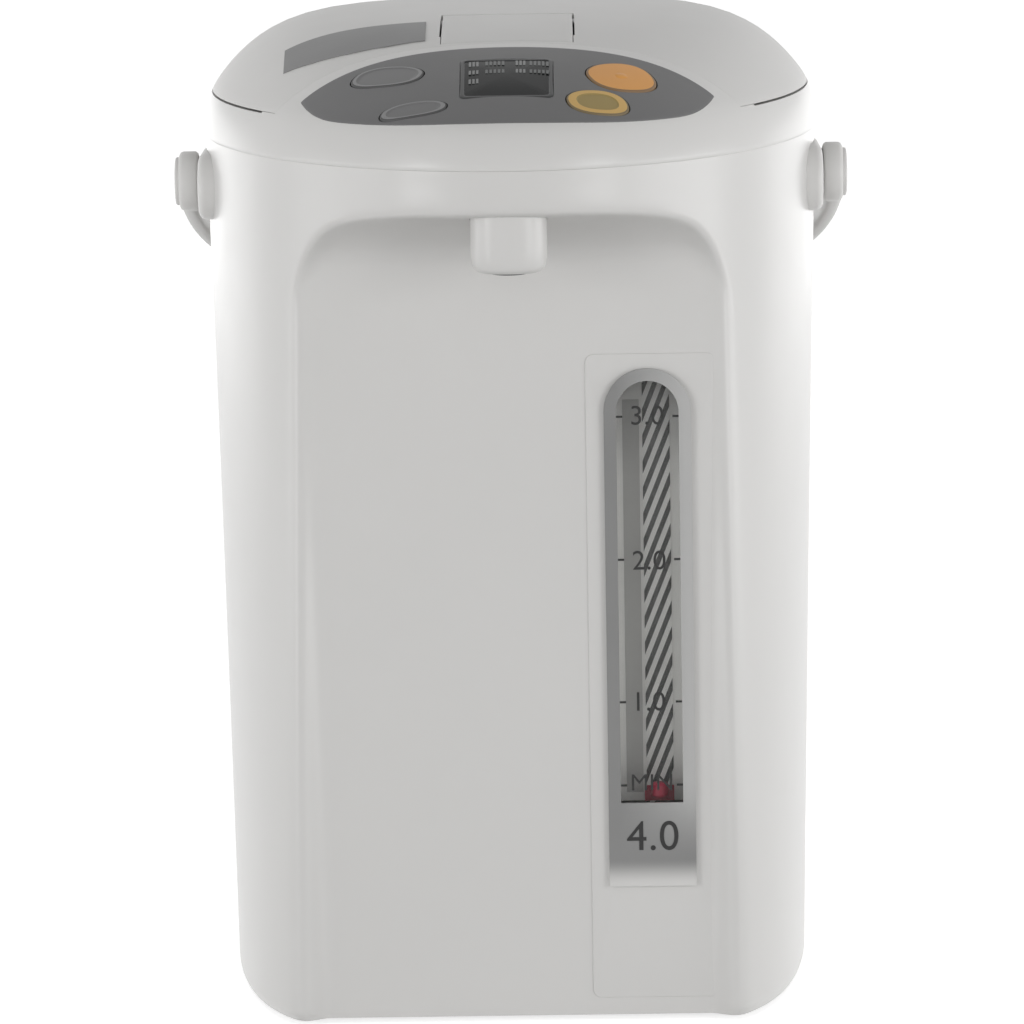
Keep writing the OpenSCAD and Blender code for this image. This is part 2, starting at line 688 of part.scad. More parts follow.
module unlock_button() button(unlock, [0.76, 0.65, 0.42]);
module reboil_button() button(reboil, panel_grey);
module select_button() button(select, panel_grey);

// ---------- container, sleeve and heater ----------

mouth_out_r = container_r + 7;
sleeve_r = container_r + 10;
sleeve_t = 0.8;
sleeve_low = container_floor - 14;
module container_place() {
    translate([0, container_y, 0]) children();
}
module mouth_ring() {
    color(white) container_place() difference() {
        union() {
            translate([0, 0, flange_z + container_t]) cylinder(r = mouth_out_r, h = mouth_top - flange_z - container_t);
            translate([0, 0, deck_z + wall]) cylinder(r = mouth_out_r + 4, h = 1.6);
        }
        translate([0, 0, flange_z - 1]) cylinder(r = mouth_r, h = 60);
    }
}
module inner_container() {
    color(steel) container_place() rotate_extrude($fn = 96) {
        round_in = 10;
        difference() {
            container_profile(container_r + container_t, container_floor - container_t, round_in + container_t);
            container_profile(container_r, container_floor, round_in);
        }
        translate([container_r + container_t, flange_z]) square([4.5, container_t]);
    }
}
module container_profile(r, low, corner) {
    top = flange_z + container_t;
    translate([0, low + corner]) square([r, top - low - corner]);
    translate([0, low]) square([r - corner, corner + 1]);
    intersection() {
        translate([r - corner, low + corner]) circle(r = corner);
        translate([0, low]) square([r, corner + 1]);
    }
}
module outer_sleeve() {
    color(steel) container_place() difference() {
        translate([0, 0, sleeve_low]) cylinder(r = sleeve_r, h = flange_z - sleeve_low);
        translate([0, 0, sleeve_low + sleeve_t]) cylinder(r = sleeve_r - sleeve_t, h = flange_z - sleeve_low - 2*sleeve_t);
        translate([0, 0, flange_z - 5]) cylinder(r = container_r + container_t + 0.5, h = 20);
        for (a = post_angles) rotate(a) translate([post_r, 0, sleeve_low - 1]) cylinder(r = 1.6, h = 3);
        translate(pump_place - [0, container_y, 0]) translate([0, 0, sleeve_low - 1]) cylinder(r = 8, h = 4);
        rotate(-90) translate([0, 0, sleeve_low - 1]) cylinder(r = 14, h = 4);
    }
}
heater_low = container_floor - container_t - 3;
module heater() {
    color([0.75, 0.72, 0.62]) difference() {
        container_place() translate([0, 0, heater_low]) tube(container_r - 14, 26, 3);
        pump_at(heater_low - 1) cylinder(r = 8, h = 5);
    }
}
module heater_clamp() {
    color(steel) container_place() translate([0, 0, heater_low - 1.2]) difference() {
        cylinder(r = container_r - 20, h = 1.2);
        translate([0, 0, -1]) cylinder(r = 22, h = 4);
        translate(pump_place - [0, container_y, 0]) translate([0, 0, -1]) cylinder(r = 8, h = 4);
    }
}
module thermostat() {
    color(dark) container_place() {
        translate([0, 0, container_floor - container_t - 10]) cylinder(r = 9, h = 10);
        translate([0, 0, container_floor - container_t - 13]) cylinder(r = 6, h = 3);
    }
}
module thermal_fuse() {
    color(brass) container_place() translate([30, 24, heater_low - 1.2 - 5]) {
        translate([-8, -4, 0]) cube([16, 8, 5]);
    }
}

// ---------- pump ----------

pump_place = [pipe_x, container_y - 40, 0];
pump_low = cover_top;
chamber_r = 17;
chamber_h = 13;
motor_r = 13;
module pump_at(z) {
    translate([pump_place.x, pump_place.y, z]) children();
}
// Motor under the chamber, standing on the base cover
module pump_motor() {
    color(steel) {
        pump_at(pump_low) cylinder(r = motor_r, h = 16);
        pump_at(pump_low + 16) cylinder(r = 1.5, h = 4.4);
    }
}
chamber_low = pump_low + 16;
module pump_housing() {
    color(dark) difference() {
        union() {
            pump_at(chamber_low) cylinder(r = chamber_r, h = chamber_h);
            pump_at(chamber_low + chamber_h) cylinder(r = 5, h = 4);
            pump_at(chamber_low + 6) bar([0, 0, 0], [0, -chamber_r - 6, 0], 4);
        }
        pump_at(chamber_low + 1.2) cylinder(r = chamber_r - 2, h = chamber_h - 3);
        pump_at(chamber_low - 1) cylinder(r = 1.5 + 0.4, h = 4);
        pump_at(chamber_low + 2) cylinder(r = 3.2, h = 20);
    }
}
module impeller() {
    color(white) pump_at(chamber_low + 1.8) difference() {
        union() {
            cylinder(r = 13, h = 1.5);
            cylinder(r = 4, h = 7);
            for (a = [0:60:300]) rotate(a) translate([3, -0.7, 0]) cube([9.5, 1.4, 6.5]);
        }
        translate([0, 0, -1]) cylinder(r = 1.5 + pin_fit, h = 4);
    }
}
module inlet_hose() {
    color([0.7, 0.7, 0.7]) difference() {
        pump_at(chamber_low + chamber_h + 4) cylinder(r = 5.5, h = container_floor - container_t - chamber_low - chamber_h - 4);
        pump_at(chamber_low) cylinder(r = 3.2, h = 60);
    }
}
module outlet_hose() {
    color([0.7, 0.7, 0.7])
        bent_bar([[pump_place.x, pump_place.y - chamber_r - 6, chamber_low + 6],
                  [pipe_x, front_at(pipe_x, pipe_in, chamber_low + 6).y, chamber_low + 6],
                  front_at(pipe_x, pipe_in, pipe_low)], 5.5);
}

// ---------- electrics ----------

power_w = 80;
power_h = 90;
power_at = [-58, 24 - front_foot, 90];  // lower left corner of the board
module power_board() {
    color(green) translate(power_at) {
        cube([power_w, 1.6, power_h]);
        translate([power_w*0.1, 1.6, 12]) cube([22, 9, 26]);
        translate([power_w*0.55, 1.6, power_h - 40]) cube([18, 7, 18]);
    }
    color(white) for (x = [6, power_w - 6], z = [power_at.z + 6, power_at.z + power_h - 6])
        translate([power_at.x + x, 0, z]) bar([0, front_plane(z) + wall + 0.4, 0], [0, power_at.y, 0], 3);
}
module power_inlet() {
    color(dark) difference() {
        translate([-inlet_w/2, inlet_face - inlet_depth, inlet_z - inlet_h/2])
            cube([inlet_w, inlet_depth, inlet_h]);
        translate([-15, inlet_face - 8, inlet_z - 9]) cube([30, 10, 18]);
        contacts(2.02);
    }
}
module contacts(r) {
    for (x = [-7, 7]) translate([x, inlet_face - inlet_depth - 4, inlet_z]) rotate([-90, 0, 0])
        cylinder(r = r, h = inlet_depth - 2);
}
module inlet_pins() {
    color(brass) contacts(2);
}

// ---------- handle ----------

module ear(side) {
    color(white) difference() {
        ear_prism(side > 0 ? ear_root : -hub_in + 1.1, side > 0 ? hub_in - 1.1 : -ear_root, 0);
        across(pivot_z, pivot_pin_d/2 + 0.02);
    }
}
pin_head = 1.8;
pin_root = ear_root - pin_head - 0.2;
// A round bar through the whole body along X
module across(z, r) {
    translate([-hub_in - 40, 0, z]) rotate([0, 90, 0]) cylinder(r = r, h = 2*hub_in + 80);
}
module left_ear() ear(-1);
module right_ear() ear(1);
module pivot_pins() {
    run = hub_in + hub_t - 1.5 - pin_root;
    color(steel) for (s = [-1, 1]) translate([s > 0 ? pin_root : -pin_root - run, 0, pivot_z])
        rotate([0, 90, 0]) {
            cylinder(r = pivot_pin_d/2, h = run);
            translate([0, 0, s > 0 ? 0 : run - pin_head]) cylinder(r = pivot_pin_d/2 + 2, h = pin_head);
        }
}
arm_t = 5.4;
arm_h = 15;
grip_t = 12;
// Half section of the bail at its place t along the curve, and the curve itself
bail_mid = hub_in + hub_t - arm_t/2 + 1.6;
function bail_point(t) = let (c = cos(t), s = sin(t), power = 3)
    [bail_mid*sign(c)*pow(abs(c), 2/power), bail_len*pow(abs(s), 2/power)];
function bail_ring(t) =
    let (p = bail_point(t), q = bail_point(t + 0.5), r = bail_point(t - 0.5),
         d = (q - r)/norm(q - r), n = [-d.y, d.x],
         grip = smooth((70 - abs(p.x))/30),
         half = mix(arm_t, grip_t, grip)/2, tall = mix(arm_h, 19, grip)/2)
    [for (k = [0:11]) let (c = cos(30*k + 15), s = sin(30*k + 15),
         u = half*sign(c)*pow(abs(c), 0.6), v = tall*sign(s)*pow(abs(s), 0.6))
        [p.x + n.x*u, p.y + n.y*u, v]];
module handle() {
    color(white) translate([0, 0, pivot_z]) rotate([-bail_drop, 0, 0]) difference() {
        union() {
            ring_solid([for (t = [0.5, 1.5, 3, each [6:4:174], 177, 178.5, 179.5]) bail_ring(t)]);
            for (s = [-1, 1]) translate([s > 0 ? hub_in : -hub_in - hub_t, 0, 0]) rotate([0, 90, 0])
                cylinder(r = hub_d/2, h = hub_t);
        }
        for (s = [-1, 1]) translate([s > 0 ? hub_in + hub_t : -hub_in - hub_t - 5, 0, 0]) rotate([0, 90, 0])
            cylinder(r = hub_d/2 - 2 + insert_fit, h = 5);
        across(0, pivot_pin_d/2 + pin_fit);
    }
}
module hub_caps() {
    color(white) for (s = [-1, 1]) translate([s > 0 ? hub_in + hub_t : -hub_in - hub_t - 1.6, 0, pivot_z])
        rotate([0, 90, 0]) cylinder(r = hub_d/2 - 2, h = 1.6);
}

// ---------- lid ----------

lever_half = 22.8;
lever_front = lid_front - 2.6;
lever_len = 54.9;                       // from the lever's front edge to its pin
lever_y = lever_len - lever_front;
lever_r = 3.2;
lever_pin_r = 1.4;
lever_z = dome_z(0, lever_y) - lever_r;
vent_y = hinge_y - 57.5;
vent_r = 12;
lid_face = -lid_front + lid_seam/2;     // front face of the lid
module lid_cover() {
    color(white) difference() {
        union() {
            difference() {
                intersection() {
                    dome_solid(0, crease_z);
                    between(lid_face, 200, lid_low);
                }
                intersection() {
                    dome_solid(wall, crease_z - 1);
                    between(lid_face + 2, 200, lid_low - 1);
                }
            }
            for (x = [-1, 1]) translate([x*(lever_half + 3.2) - 1.4, lever_y - 5, lever_z - 6])
                cube([2.8, 10, 8.5]);
        }
        translate([-lever_half - 0.4, -lever_front - 0.2, lever_z - 8]) cube([2*lever_half + 0.8, lever_y + lever_r + lever_front + 0.6, 40]);
        translate([-60, lever_y, lever_z]) rotate([0, 90, 0]) cylinder(r = lever_pin_r + 0.02, h = 120);
        latch_slot(latch_back + 8);
        translate([0, vent_y, 300]) cylinder(r = vent_r + insert_fit, h = 100);
    }
}
module lid_base() {
    color(white) difference() {
        union() {
            intersection() {
                dome_solid(wall + 0.2, crease_z - 1);
                translate([-150, lid_face + 2.2, lid_low]) cube([300, 300, wall]);
            }
            container_place() {
                translate([0, 0, gasket_low + 2.6]) cylinder(r = plug_r + 8, h = lid_low - gasket_low - 2.6 + 1);
                translate([0, 0, plug_low]) cylinder(r = plug_r, h = lid_low - plug_low);
            }
        }
        container_place() translate([0, 0, plug_low + wall]) cylinder(r = plug_r - wall, h = 60);
        container_place() translate([0, -40, plug_low - 1]) cylinder(r = 6, h = 10);
        for (a = [60:120:300]) container_place() rotate(a) translate([50, 0, plug_low - 1]) cylinder(r = 1.7, h = 10);
    }
}
plug_low = flange_z + 9;
module lid_inner_plate() {
    color(steel) container_place() translate([0, 0, plug_low - 1]) difference() {
        cylinder(r = plug_r - 1, h = 1);
        translate([0, -40, -1]) cylinder(r = 6, h = 4);
        for (a = [60:120:300]) rotate(a) translate([50, 0, -1]) cylinder(r = 1.7, h = 4);
    }
}
module lid_gasket() {
    color([0.75, 0.75, 0.74]) container_place() translate([0, 0, gasket_low])
        tube(plug_r + 6.5, plug_r + insert_fit, 2.6);
}
module lid_screws() {
    color(steel) for (a = [60:120:300]) container_place() rotate(a) translate([50, 0, 0]) {
        translate([0, 0, plug_low - 3]) cylinder(r = 3, h = 2);
        translate([0, 0, plug_low - 3]) cylinder(r = 1.6, h = 8);
    }
}
module steam_vent() {
    top = dome_z(0, vent_y);
    color(white) translate([0, vent_y, 0]) difference() {
        union() {
            translate([0, 0, top - 5]) cylinder(r = vent_r, h = 5.4);
            translate([0, 0, lid_low + wall]) cylinder(r = vent_r - 3, h = top - 4 - lid_low - wall);
        }
        for (x = [-6:4:6]) translate([x - 0.8, -7, top - 3]) cube([1.6, 14, 10]);
    }
}
// Barrel and web that carry the lid on its pin
module hinge_block() {
    color(white) difference() {
        union() {
            translate([-knuckle_in + 0.5, hinge_y, hinge_z]) rotate([0, 90, 0])
                cylinder(r = 4.5, h = 2*knuckle_in - 1);
            translate([-knuckle_in + 0.5, hinge_y - 10, hinge_z + 1]) cube([2*knuckle_in - 1, 10, lid_low - hinge_z - 1]);
        }
        translate([-60, hinge_y, hinge_z]) rotate([0, 90, 0]) cylinder(r = hinge_pin_r + pin_fit, h = 120);
        translate([-60, hinge_y - 20, lid_low]) cube([120, 40, 30]);
    }
}
module hinge_pin() {
    color(steel) translate([-knuckle_out, hinge_y, hinge_z]) rotate([0, 90, 0])
        cylinder(r = hinge_pin_r, h = 2*knuckle_out);
}
// Plain grey strip on the lid's left
module lid_label() {
    color([0.6, 0.6, 0.61]) intersection() {
        dome_sheet(-82, -24, 3.5 - lid_front, 51.5 - lid_front, 12, 9, 0.1, 0.4);
        translate([0, -lid_front, crease_z - 1]) linear_extrude(dome_h + 5)
            polygon([[-77.9, 22.5], [-78.3, 45.5], [-66, 43.5], [-55, 42], [-28.4, 40.5], [-28.2, 8.5],
                     [-42, 8], [-55.2, 10.5], [-67, 15.5]]);
    }
}

// ---------- opening lever and latch ----------

module open_lever() {
    color(white) difference() {
        union() {
            intersection() {
                dome_sheet(-lever_half, lever_half, -lever_front, lever_y, 8, 10, -2.6, 0);
                translate([-lever_half, -lever_front, 250]) cube([2*lever_half, lever_front + lever_y, 200]);
            }
            translate([-lever_half, lever_y, lever_z]) rotate([0, 90, 0]) cylinder(r = lever_r, h = 2*lever_half);
            // rib that draws the latch
            translate([-1.5, lever_y - 12, lever_z - 9]) cube([3, 12, 9]);
        }
        translate([-60, lever_y, lever_z]) rotate([0, 90, 0]) cylinder(r = lever_pin_r + pin_fit, h = 120);
    }
}
module lever_pin() {
    color(steel) translate([-lever_half - 4.5, lever_y, lever_z]) rotate([0, 90, 0])
        cylinder(r = lever_pin_r, h = 2*lever_half + 9);
}
latch_len = 37.2;
latch_back = lid_face + latch_len;
module latch() {
    color(dark) translate([-latch_w/2, lid_face, latch_z]) cube([latch_w, latch_back - lid_face, latch_h]);
}
module latch_spring() {
    turns = 5;
    wire = 0.4;
    coil = 2.4;
    run = 16;
    steps = 12*turns;
    color(steel) translate([0, latch_back + face_gap + wire, latch_z + latch_h/2]) ring_solid(
        [for (i = [0:steps]) let (a = 360*turns*i/steps)
            [for (k = [0:7]) let (r = coil + wire*cos(45*k))
                [r*cos(a), run*i/steps + wire*sin(45*k), r*sin(a)]]]);
}

swivel_base();
foot_pads();
swivel_clip();
base_cover();
base_screws();
body_shell();
gauge_panel();
gauge_trim();
gauge_window();
gauge_scale();
level_pipe();
tip_valve();
outlet_pipe();
spout_cover();
top_ring();
front_cover();
control_panel();
lcd_window();
lcd_module();
switch_board();
key_switches();
dispense_button();
unlock_button();
reboil_button();
select_button();
mouth_ring();
inner_container();
outer_sleeve();
heater();
heater_clamp();
thermostat();
thermal_fuse();
pump_housing();
impeller();
pump_motor();
inlet_hose();
outlet_hose();
power_board();
power_inlet();
inlet_pins();
left_ear();
right_ear();
pivot_pins();
handle();
hub_caps();
hinge_pin();
lid_cover();
lid_base();
lid_inner_plate();
lid_gasket();
lid_screws();
steam_vent();
hinge_block();
lid_label();
lever_pin();
open_lever();
latch();
latch_spring();
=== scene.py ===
"""Visual model of an electric thermo pot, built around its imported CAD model."""

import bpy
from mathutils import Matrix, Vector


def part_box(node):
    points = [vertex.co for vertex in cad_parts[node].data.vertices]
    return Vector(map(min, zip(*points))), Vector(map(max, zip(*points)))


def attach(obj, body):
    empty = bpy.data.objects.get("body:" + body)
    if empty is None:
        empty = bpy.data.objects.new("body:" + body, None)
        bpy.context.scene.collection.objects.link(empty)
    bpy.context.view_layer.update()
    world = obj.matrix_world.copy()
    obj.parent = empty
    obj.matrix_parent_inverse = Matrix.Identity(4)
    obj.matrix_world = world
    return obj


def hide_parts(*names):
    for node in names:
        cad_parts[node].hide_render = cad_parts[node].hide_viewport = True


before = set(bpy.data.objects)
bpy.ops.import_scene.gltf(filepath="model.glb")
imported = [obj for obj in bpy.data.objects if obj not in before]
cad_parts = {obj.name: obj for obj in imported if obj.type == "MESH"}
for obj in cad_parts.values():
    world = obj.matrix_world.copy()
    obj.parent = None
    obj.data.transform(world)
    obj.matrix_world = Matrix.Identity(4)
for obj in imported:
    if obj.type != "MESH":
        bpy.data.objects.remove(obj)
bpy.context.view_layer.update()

import math

import bmesh
import bpy
import numpy
from bpy.props import FloatProperty, FloatVectorProperty, IntProperty, PointerProperty
from mathutils import Matrix, Vector

bl_info = {
    "name": "Thermo Pot Builder",
    "version": (1, 0, 0),
    "blender": (4, 5, 0),
    "location": "View3D > Sidebar > Thermo Pot",
    "description": "Builds the visible pieces of an electric thermo pot on its CAD frame",
    "category": "Add Mesh",
}

MM = 0.001


# ---------------------------------------------------------------- settings


def length(name, description, default):
    return FloatProperty(
        name=name, description=description, default=default, unit="LENGTH", subtype="DISTANCE"
    )


def colour(name, description, grey_or_rgb):
    return FloatVectorProperty(
        name=name, description=description, default=grey_or_rgb, size=3, min=0, max=1,
        subtype="COLOR",
    )


class ThermoPotShape(bpy.types.PropertyGroup):
    """Sizes of the casing, the dome and the gauge"""

    body_w: length("Body width", "Width of the body at the seam under the top ring", 0.2218)
    foot_w: length("Foot width", "Width of the body at its foot", 0.206)
    nose_reach: length("Nose reach", "Reach of the nose in front of the swivel axis", 0.160)
    back_reach: length("Back reach", "Reach of the back behind the swivel axis", 0.130)
    seam_z: length("Seam height", "Height of the seam under the top ring", 0.298)
    band_h: length("Band height", "Height of the upright band of the top ring", 0.0145)
    dome_h: length("Dome rise", "Rise of the dome above the band", 0.0295)
    lip_z: length("Lip height", "Height of the lip over the flat front", 0.2821)
    cove_h: length("Cove height", "Height of the curve under the lip", 0.024)
    gauge_x: length("Gauge offset", "Offset of the level gauge to the right", 0.0463)
    trim_w: length("Trim width", "Width of the gauge trim", 0.030)
    gauge_w: length("Window width", "Width of the gauge window", 0.0214)
    stripe_count: IntProperty(
        name="Stripes", description="Number of stripes behind the level pipe", default=42, min=1
    )


class ThermoPotFinish(bpy.types.PropertyGroup):
    """Colours of the pot's materials"""

    casing: colour("Casing", "White plastic of the casing", (0.620, 0.614, 0.602))
    panel: colour("Control panel", "Grey plastic of the control panel", (0.127, 0.127, 0.128))
    orange: colour("Dispense key", "Colour of the dispense key", (0.660, 0.300, 0.060))
    gold: colour("Unlock key", "Colour of the unlock key", (0.560, 0.355, 0.105))
    display: colour("Display", "Dark face of the display", (0.014, 0.015, 0.015))


# ---------------------------------------------------------------- shape of the pot

# Lengths and places are in millimetres, angles in radians where no other unit is named
PLAN_CENTRE = 25.0
# Powers of the plan's oval at the foot and at the seam, where 2 is an ellipse
FOOT_POWER, SEAM_POWER = 3.4, 2.0
FRONT_FOOT, FRONT_LEAN = 130.5, math.radians(3.8)
FLAT_HALF, RECESS_R = 75.0, 17.0
FLOOR_GAP, WALL = 2.0, 2.5
RING_PROUD, CREASE_SIDE, CREASE_FRONT = 1.0, 3.3, 5.0
# Powers of the dome's fall towards its sides and towards its front and back
SIDE_POWER, END_POWER = 5.6, 3.9
CREASE_SOFT = 3.4
COVER_BACK, LID_FACE, SLIT_FRONT = -95.5, -95.4, -86.0
PANEL_HALF, PANEL_BACK = 70.6, 101.0
PANEL_RIM, PANEL_RISE, PANEL_BOW = 2.1, 1.3, 2.4
LCD_Y, LCD_W, LCD_D = -126.5, 31.5, 27.0
DECK_Z = 300.0
MOUTH_Y, MOUTH_OUT = 12.0, 86.1
HINGE_Y, HINGE_Z = 119.5, 309.0
LATCH_Z, LATCH_H, LATCH_HALF = 317.5, 4.0, 10.0
LATCH_GAP, LATCH_FRONT = 0.3, -155.0
LEVER_HALF, LEVER_FRONT, LEVER_Y = 22.8, -92.9, -38.0
VENT_Y, VENT_R = 62.0, 12.0
# Handle: its pivots and hubs, the ears on the body, and the bail
PIVOT_Z, HUB_IN, HUB_T, HUB_R = 280.5, 112.6, 7.0, 10.75
EAR_ROOT, EAR_R, EAR_FORE, EAR_AFT = 102.5, 11.8, 20.0, 6.0
BAIL_MID, BAIL_LEN, BAIL_DROP = 118.5, 151.97, math.radians(20)
SPOUT_Y, SPOUT_Z, SPOUT_W, SPOUT_D = -143.0, 262.0, 25.8, 25.0
SPOUT_POWER = 2.5
PLATE_PROUD = 0.35
TRIM_FACE, WINDOW_FACE = -PLATE_PROUD - 1.7, -PLATE_PROUD - 1.0
TRIM_LOW, TRIM_HIGH = 47.0, 226.0
WINDOW_LOW, WINDOW_HIGH = 76.0, 221.7
LITRE_LOW, LITRE_RISE, MIN_TICK = 111.0, 49.25, 82.1
INLET_FACE, INLET_Z = 122.3, 44.0
# Distance of the four outer pads from the middle along X and along Y
PAD_X = 56.6
# A corner outside the pot, at the right, the back and the top
BEYOND = (160, 200, 400)
# Plan of each key: x, y, half length, half depth, turn of its long axis in degrees
DISPENSE = (38.8, -118.5, 12.5, 8.5, 30)
UNLOCK = (30.6, -137.8, 10.8, 6.1, 18.5)
REBOIL = (-40.6, -114.9, 13.5, 6.1, -27)
SELECT = (-31.4, -140.0, 11.6, 3.6, -13)
# Gap round a key, power of its outline and lean of its stem
KEY_GAP, KEY_POWER, STEM_LEAN = 0.42, 2.3, math.radians(24)


def clamp(v, low, high):
    return min(max(v, low), high)


def smooth(v):
    t = clamp(v, 0.0, 1.0)
    return t * t * (3 - 2 * t)


def mix(a, b, t):
    return a + (b - a) * t


def signed_power(v, power):
    return math.copysign(abs(v) ** power, v)


def superellipse(half, depth, power, n):
    turns = [2 * math.pi * k / n for k in range(n)]
    return [(half * signed_power(math.cos(a), 2 / power),
             depth * signed_power(math.sin(a), 2 / power)) for a in turns]


class Form:
    """The pot's outline functions, in millimetres, from the scene's settings"""

    def __init__(self, shape):
        for key in ("body_w", "foot_w", "nose_reach", "back_reach", "seam_z", "band_h",
                    "dome_h", "lip_z", "cove_h", "gauge_x", "trim_w", "gauge_w"):
            setattr(self, key, getattr(shape, key) / MM)
        self.crease_z = self.seam_z + self.band_h
        self.crease_half = self.body_w / 2 + RING_PROUD - CREASE_SIDE
        self.crease_front = self.nose_reach + PLAN_CENTRE + RING_PROUD - CREASE_FRONT - 0.5
        self.crease_back = self.back_reach - PLAN_CENTRE + RING_PROUD - CREASE_SIDE - 0.7

    def oval(self, t, half, front, back, power):
        c, s = math.cos(t), math.sin(t)
        reach = front if s < 0 else back
        return (half * signed_power(c, 2 / power),
                PLAN_CENTRE + reach * signed_power(s, 2 / power))

    # the body

    def lip_at(self, x):
        over = abs(x) - (FLAT_HALF - RECESS_R)
        if over <= 0:
            return self.lip_z
        return self.lip_z - RECESS_R + math.sqrt(max(RECESS_R ** 2 - over ** 2, 0))

    def front_plane(self, z):
        return -(FRONT_FOOT - z * math.tan(FRONT_LEAN))

    def body_point(self, t, z, inset, cove=None):
        """A point of the casing; cove gives the place along the curve under the lip"""
        k = z / self.seam_z
        half = mix(self.foot_w, self.body_w, k) / 2
        v = 1 - clamp((z - FLOOR_GAP) / 4, 0, 1)
        draw = inset + (1.6 * v * v if inset == 0 else 0)
        back = self.back_reach - PLAN_CENTRE - (self.body_w / 2 - half)
        power = SEAM_POWER + (FOOT_POWER - SEAM_POWER) * max(1 - k, 0) ** 1.5
        x, y = self.oval(t, half - draw, self.nose_reach + PLAN_CENTRE - draw, back - draw, power)
        plane = self.front_plane(z) + inset
        if cove is None:
            limit = plane
        else:
            limit = mix(plane, -self.nose_reach + inset, 1 - math.cos(cove))
        fade = mix(16, 7, z / self.lip_z)
        w = smooth((FLAT_HALF + fade / 2 - 1.5 - abs(x)) / fade)
        return (x, mix(y, max(y, limit), w), z)

    # the top

    def band_point(self, a, t, inset):
        """A point of the upright band: t 0 at the seam, 1 at the crease"""
        drawn = t ** 1.6 - 1
        x, y = self.oval(a, self.crease_half - inset - CREASE_SIDE * drawn,
                         self.crease_front - inset - CREASE_FRONT * drawn,
                         self.crease_back - inset - CREASE_SIDE * drawn, 2)
        return (x, y, mix(self.seam_z, self.crease_z, t))

    def top_z(self, x, y):
        """Height of the outside over a point of the plan, with a soft crease"""
        v = (y - PLAN_CENTRE) / (self.crease_front if y < PLAN_CENTRE else self.crease_back)
        r = max(math.hypot(x / self.crease_half, v), 1e-3)
        ends = v * v / (r * r)
        dome = self.crease_z + self.dome_h * (1 - r ** mix(SIDE_POWER, END_POWER, ends))
        front = y < PLAN_CENTRE
        draw = mix(CREASE_SIDE, CREASE_FRONT if front else CREASE_SIDE, ends)
        reach = mix(self.crease_half, self.crease_front if front else self.crease_back, ends)
        e = (r - 1) * reach / draw
        t = 1 - e / 1.6 if e < 0 else max(1 - e, 0) ** 0.625
        band = mix(self.seam_z, self.crease_z, t)
        near = max(CREASE_SOFT - abs(dome - band), 0)
        return min(dome, band) - near * near / (4 * CREASE_SOFT)

    def top_rings(self, inset, count=240):
        """Rings from the seam up over the whole top; the last one is small"""
        rings = []
        turns = [2 * math.pi * k / count for k in range(count)]
        edge = ((0.0, 0.6), (0.2, 0.25), (0.6, 0.05)) if inset == 0 else ((-1.0, 0.0), (0.6, 0.0))
        for up, trim in edge:
            ring = [self.band_point(a, max(up, 0) / self.band_h, inset + trim) for a in turns]
            rings.append([(x, y, self.seam_z + up) for x, y, _ in ring])
        for t in (0.14, 0.28, 0.42, 0.56, 0.7, 0.8, 0.88, 0.94):
            ring = [self.band_point(a, t, inset) for a in turns]
            if inset == 0:
                ring = [(x, y, min(z, self.top_z(x, y))) for x, y, z in ring]
            rings.append(ring)
        fit = (self.crease_half - inset) / self.crease_half
        rise = (self.dome_h - inset) / self.dome_h
        for s in (1, 0.992, 0.984, 0.975, 0.965, 0.95, 0.93, 0.905, 0.875, 0.84, 0.8, 0.75, 0.69,
                  0.62, 0.54, 0.45, 0.35, 0.24, 0.12, 0.04):
            ring = []
            for a in turns:
                x, y = self.oval(a, self.crease_half * s, self.crease_front * s,
                                 self.crease_back * s, 2)
                z = self.crease_z + (self.top_z(x, y) - self.crease_z) * rise
                ring.append((x * fit, PLAN_CENTRE + (y - PLAN_CENTRE) * fit, z))
            rings.append(ring)
        return rings

    def crease_y(self, x):
        return PLAN_CENTRE - self.crease_front * math.sqrt(1 - (x / self.crease_half) ** 2)

    def panel_edge(self, x, grow):
        """Front edge of the control panel"""
        u = clamp(abs(x) / (PANEL_HALF + grow), 0, 1)
        rim = PANEL_RIM - PANEL_RISE * smooth(u / 0.7)
        tip = (-PANEL_BACK - PANEL_BOW - self.crease_y(PANEL_HALF) - PANEL_RIM + PANEL_RISE)
        return self.crease_y(u * PANEL_HALF) + rim + tip * u ** 20 + grow * (2 * u ** 20 - 1)

    def panel_outline(self, grow, n=90):
        half = PANEL_HALF + grow
        points = []
        for i in range(n + 1):
            x = -half * math.cos(math.pi * i / n)
            points.append((x, self.panel_edge(x, grow)))
        for i in range(1, n):
            a = math.pi * i / n
            points.append((half * math.cos(a),
                           -PANEL_BACK + grow + PANEL_BOW * (math.sin(a) - 1)))
        return points


def key_outline(key, grow=0.0):
    """Plan of a key, counterclockwise"""
    x, y, half, depth, degrees = key
    c, s = math.cos(math.radians(degrees)), math.sin(math.radians(degrees))
    return [(x + u * c - v * s, y + u * s + v * c)
            for u, v in superellipse(half + grow, depth + grow, KEY_POWER, 72)]


# ---------------------------------------------------------------- mesh helpers


def put_mesh(name, verts, faces, scale=MM):
    """A new object from points in millimetres"""
    mesh = bpy.data.meshes.new(name)
    mesh.from_pydata([tuple(c * scale for c in v) for v in verts], [], faces)
    mesh.validate()
    mesh.update()
    obj = bpy.data.objects.new(name, mesh)
    bpy.context.scene.collection.objects.link(obj)
    return obj


def ring_faces(n, rows, start, outward):
    faces = []
    for r in range(rows - 1):
        for k in range(n):
            a, b = start + r * n + k, start + r * n + (k + 1) % n
            quad = (a, b, b + n, a + n)
            faces.append(quad if outward else quad[::-1])
    return faces


def join_rims(n, outer, inner, upward):
    faces = []
    for k in range(n):
        a, b = outer + k, outer + (k + 1) % n
        c, d = inner + (k + 1) % n, inner + k
        faces.append((a, b, c, d) if upward else (d, c, b, a))
    return faces


